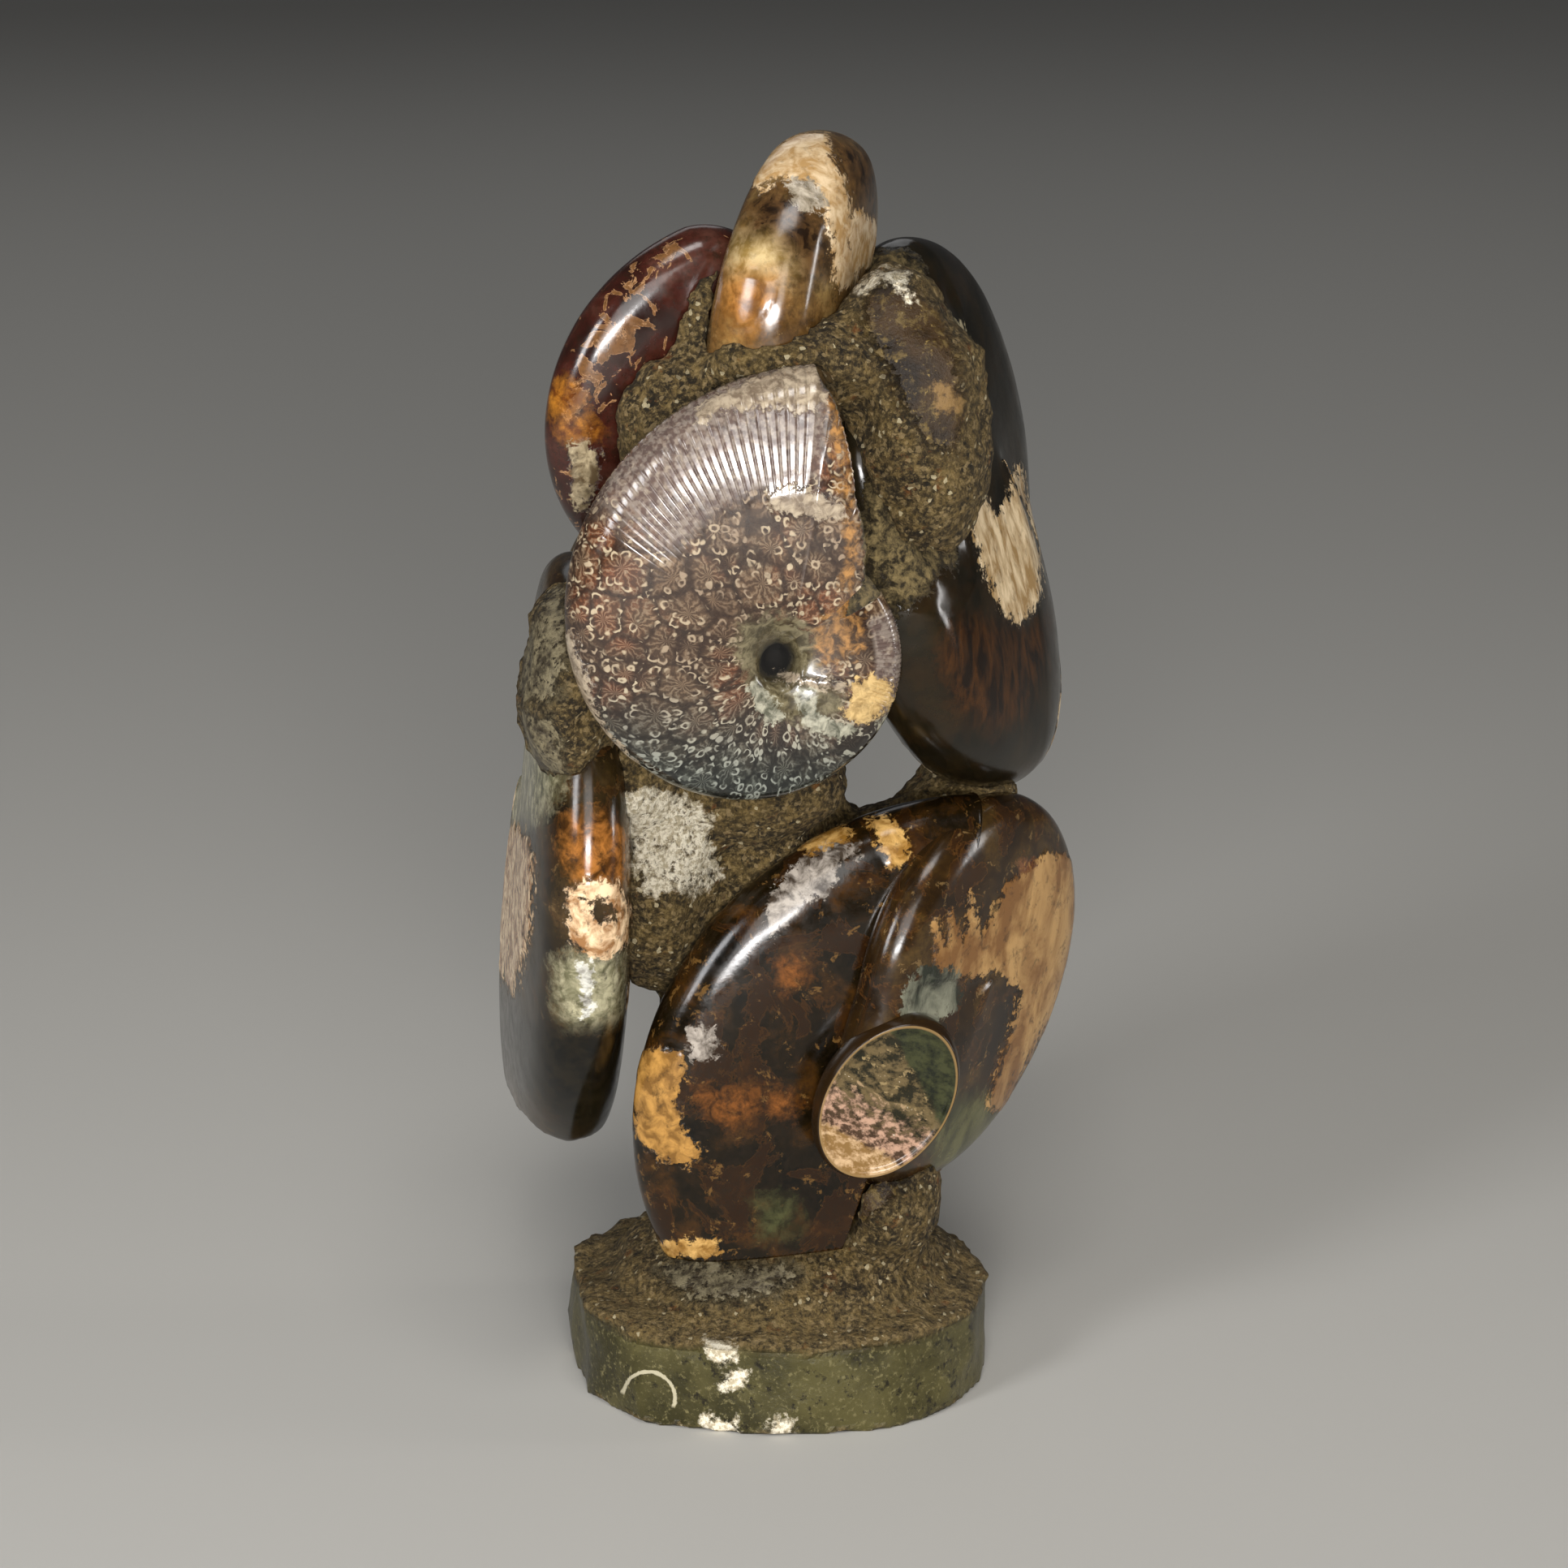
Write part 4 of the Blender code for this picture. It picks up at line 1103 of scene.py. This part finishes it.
def rock_material():
    """Gritty limestone matrix, hand-cleaned and left rough; the foot's side sawn and rubbed smooth.

    To the eye: olive-brown crumbs with tan, rust and white grains, dull all over, and a
    smoother olive-grey sawn side. Painted shade darkens the hollows of the bump relief as black crevices,
    and its tops are lighter, partly painted light."""
    material, tree, shader, spot = new_material("gritty_limestone_matrix")
    noises = {}
    for key, size, detail, harsh in (
            ("cloud", 13.0, 4.0, 0.55), ("lump", 2.6, 6.0, 0.70), ("crumb", 1.0, 5.0, 0.72),
            ("rust", 4.5, 6.0, 0.7)):
        noises[key] = add(tree, "TexNoise", {"Scale": 1 / size, "Detail": detail, "Roughness": harsh},
                          {"Vector": spot})
    cloud, lump, crumb = noises["cloud"], noises["lump"], noises["crumb"]
    grains = add(tree, "TexVoronoi", {"Scale": 1 / 0.7}, {"Vector": spot}, out=None)
    tone = add(tree, "SeparateColor", links={0: grains.outputs["Color"]}, out=None)
    height = add(tree, "Attribute", {"attribute_name": "height_mm"}, out="Fac")
    # The colour follows the bump relief: its hollows are darker, painted crevice shade, and its tops
    # lighter, partly painted light and partly the tan of the crumbs, over clouds and grains of the rock's
    # own colour
    colour = paint(tree, "382C16", (cloud, 0.42, 0.58, "544422"), (height, 24.0, 16.0, "74623E"),
                   (lump, 0.48, 0.66, "8A7242", 0.8), (lump, 0.47, 0.36, "1E180A", 0.8),
                   (crumb, 0.50, 0.66, "A48C5C", 0.75), (crumb, 0.47, 0.36, "140F06", 0.8),
                   (noises["rust"], 0.60, 0.70, "7E4C1C", 0.8),
                   (tone.outputs[0], 0.86, 0.94, "AC9468", 0.5),
                   (tone.outputs[2], 0.98, 0.985, "CFC09A", 0.8))
    ragged = add(tree, "Math", {"operation": "MULTIPLY_ADD", 1: 10.0, 2: -5.0}, {0: lump})
    edges = {}
    for layer in ("teal", "amber", "ochre", "white"):
        edge = add(tree, "Attribute", {"attribute_name": layer}, out="Fac")
        edges[layer] = add(tree, "Math", {"operation": "ADD"}, {0: edge, 1: ragged})
    sawn = add(tree, "Attribute", {"attribute_name": "sawn"}, out="Fac")
    side = paint(tree, "322E14", (cloud, 0.40, 0.60, "524C2A"), (crumb, 0.54, 0.66, "726A46"),
                 (lump, 0.44, 0.36, "1E1A0C"))
    grey_green = paint(tree, "40382A", (lump, 0.42, 0.58, "7E745A"), (crumb, 0.46, 0.38, "241C10"))
    umber = paint(tree, "1C1206", (cloud, 0.44, 0.56, "3A2810"), (lump, 0.52, 0.62, "62502A"),
                  (crumb, 0.60, 0.68, "8A7442"))
    crystal = paint(tree, "5E5038", (lump, 0.40, 0.50, "BEB092"), (crumb, 0.44, 0.54, "F6ECD4"))

    # The ring is a band round its line, open below
    wander = add(tree, "Attribute", {"attribute_name": "ring"}, out="Fac")
    wander = add(tree, "Math", {"operation": "MULTIPLY_ADD", 1: 0.12}, {0: ragged, 2: wander})
    wander = add(tree, "Math", {"operation": "ABSOLUTE"}, {0: wander})
    above = add(tree, "MapRange", {1: RING_FOOT, 2: RING_FOOT + 0.6}, {0: height})
    ring = add(tree, "MapRange", {1: 0.42, 2: 0.24}, {0: wander})
    ring = add(tree, "Math", {"operation": "MULTIPLY"}, {0: ring, 1: above})
    colour = paint(tree, colour, (sawn, 0.0, 1.0, side), (edges["teal"], -1.5, 1.5, grey_green),
                   (edges["amber"], -1.5, 1.5, umber), (edges["ochre"], -0.6, 0.8, "86683C", 0.85),
                   (edges["white"], -0.8, 0.6, crystal), (ring, 0.0, 1.0, "CFC6A8", 0.75))
    smooth = sawn
    for layer in ("teal", "amber"):
        share = add(tree, "MapRange", {1: -1.0, 2: 1.0, 4: 0.85}, {0: edges[layer]})
        smooth = add(tree, "Math", {"operation": "MAXIMUM"}, {0: smooth, 1: share})
    dull = add(tree, "MapRange", {1: 0.0, 2: 1.0, 3: 0.7, 4: 0.36}, {0: smooth})
    relief = add(tree, "Math", {"operation": "MULTIPLY_ADD", 1: 0.6}, {0: crumb, 2: lump})
    depth = add(tree, "MapRange", {1: 0.0, 2: 1.0, 3: 1.0, 4: 0.08}, {0: smooth})
    relief = add(tree, "Math", {"operation": "MULTIPLY"}, {0: relief, 1: depth})
    bumps = add(tree, "Bump", {"Strength": 1.0, "Distance": 0.0022}, {"Height": relief})
    set_up(tree, shader, {"Specular IOR Level": 0.35},
           {"Base Color": colour, "Roughness": dull, "Normal": bumps})
    return material


make_rock()


# Floor, light and camera

def add_light(name, place, aim, size, power, colour, spread=180.0):
    """A rectangular soft light at a place in mm, turned to its aim; the spread in degrees is that of a grid
    in front of it."""
    lamp = bpy.data.lights.new(name, "AREA")
    lamp.shape = "RECTANGLE"
    lamp.size, lamp.size_y = size
    lamp.energy = power
    lamp.color = colour
    lamp.spread = math.radians(spread)
    item = bpy.data.objects.new(name, lamp)
    COLLECTION.objects.link(item)
    item.location = Vector(place) * MM
    item.rotation_euler = (Vector(aim) * MM - item.location).to_track_quat("-Z", "Y").to_euler()


floor_mesh = bpy.data.meshes.new("floor")
floor_mesh.from_pydata([(-6, -6, 0), (6, -6, 0), (6, 6, 0), (-6, 6, 0)], [], [(0, 1, 2, 3)])
floor = bpy.data.objects.new("floor", floor_mesh)
COLLECTION.objects.link(floor)
floor_material, floor_tree, floor_shader = new_material("pale_studio_paper")[:3]
set_up(floor_tree, floor_shader, {"Roughness": 0.9, "Specular IOR Level": 0.1}, {"Base Color": "C6C4BE"})
floor_mesh.materials.append(floor_material)

add_light("overhead", (56, -320, 930), (0, 0, 200), (0.30, 0.22), 1.8, (1.0, 0.98, 0.96))
add_light("left_window", (-700, -710, 560), (0, -10, 90), (0.24, 0.42), 4.8, (0.97, 0.98, 1.0))
add_light("front_fill", (60, -1300, 700), (0, -20, 100), (0.8, 0.6), 6.5, (1.0, 0.98, 0.95))
add_light("low_strip", (56, -1330, 317), (0, -40, 170), (0.46, 0.14), 13.0, (1.0, 0.98, 0.97))
add_light("back_fill", (-200, 1300, 900), (0, 20, 120), (0.9, 0.5), 1.0, (0.97, 0.98, 1.0))
add_light("right_strip", (1000, 30, 240), (40, 0, 170), (0.12, 0.40), 0.22, (1.0, 0.98, 0.96), 60.0)

world = bpy.data.worlds.new("studio")
bpy.context.scene.world = world
world.use_nodes = True
world.node_tree.nodes["Background"].inputs[0].default_value = linear("E6E8EC")
world.node_tree.nodes["Background"].inputs[1].default_value = 0.06

lens = bpy.data.cameras.new("picture_camera")
lens.sensor_width = 36.0
lens.lens = FOCAL / PICTURE * 36.0
lens.clip_start = 0.05
lens.clip_end = 30.0
camera = bpy.data.objects.new("picture_camera", lens)
COLLECTION.objects.link(camera)
camera.location = CAMERA_PLACE * MM
camera.rotation_euler = (math.pi / 2 - CAMERA_RISE, 0.0, 0.0)
bpy.context.scene.camera = camera
bpy.context.scene.view_settings.view_transform = "Standard"
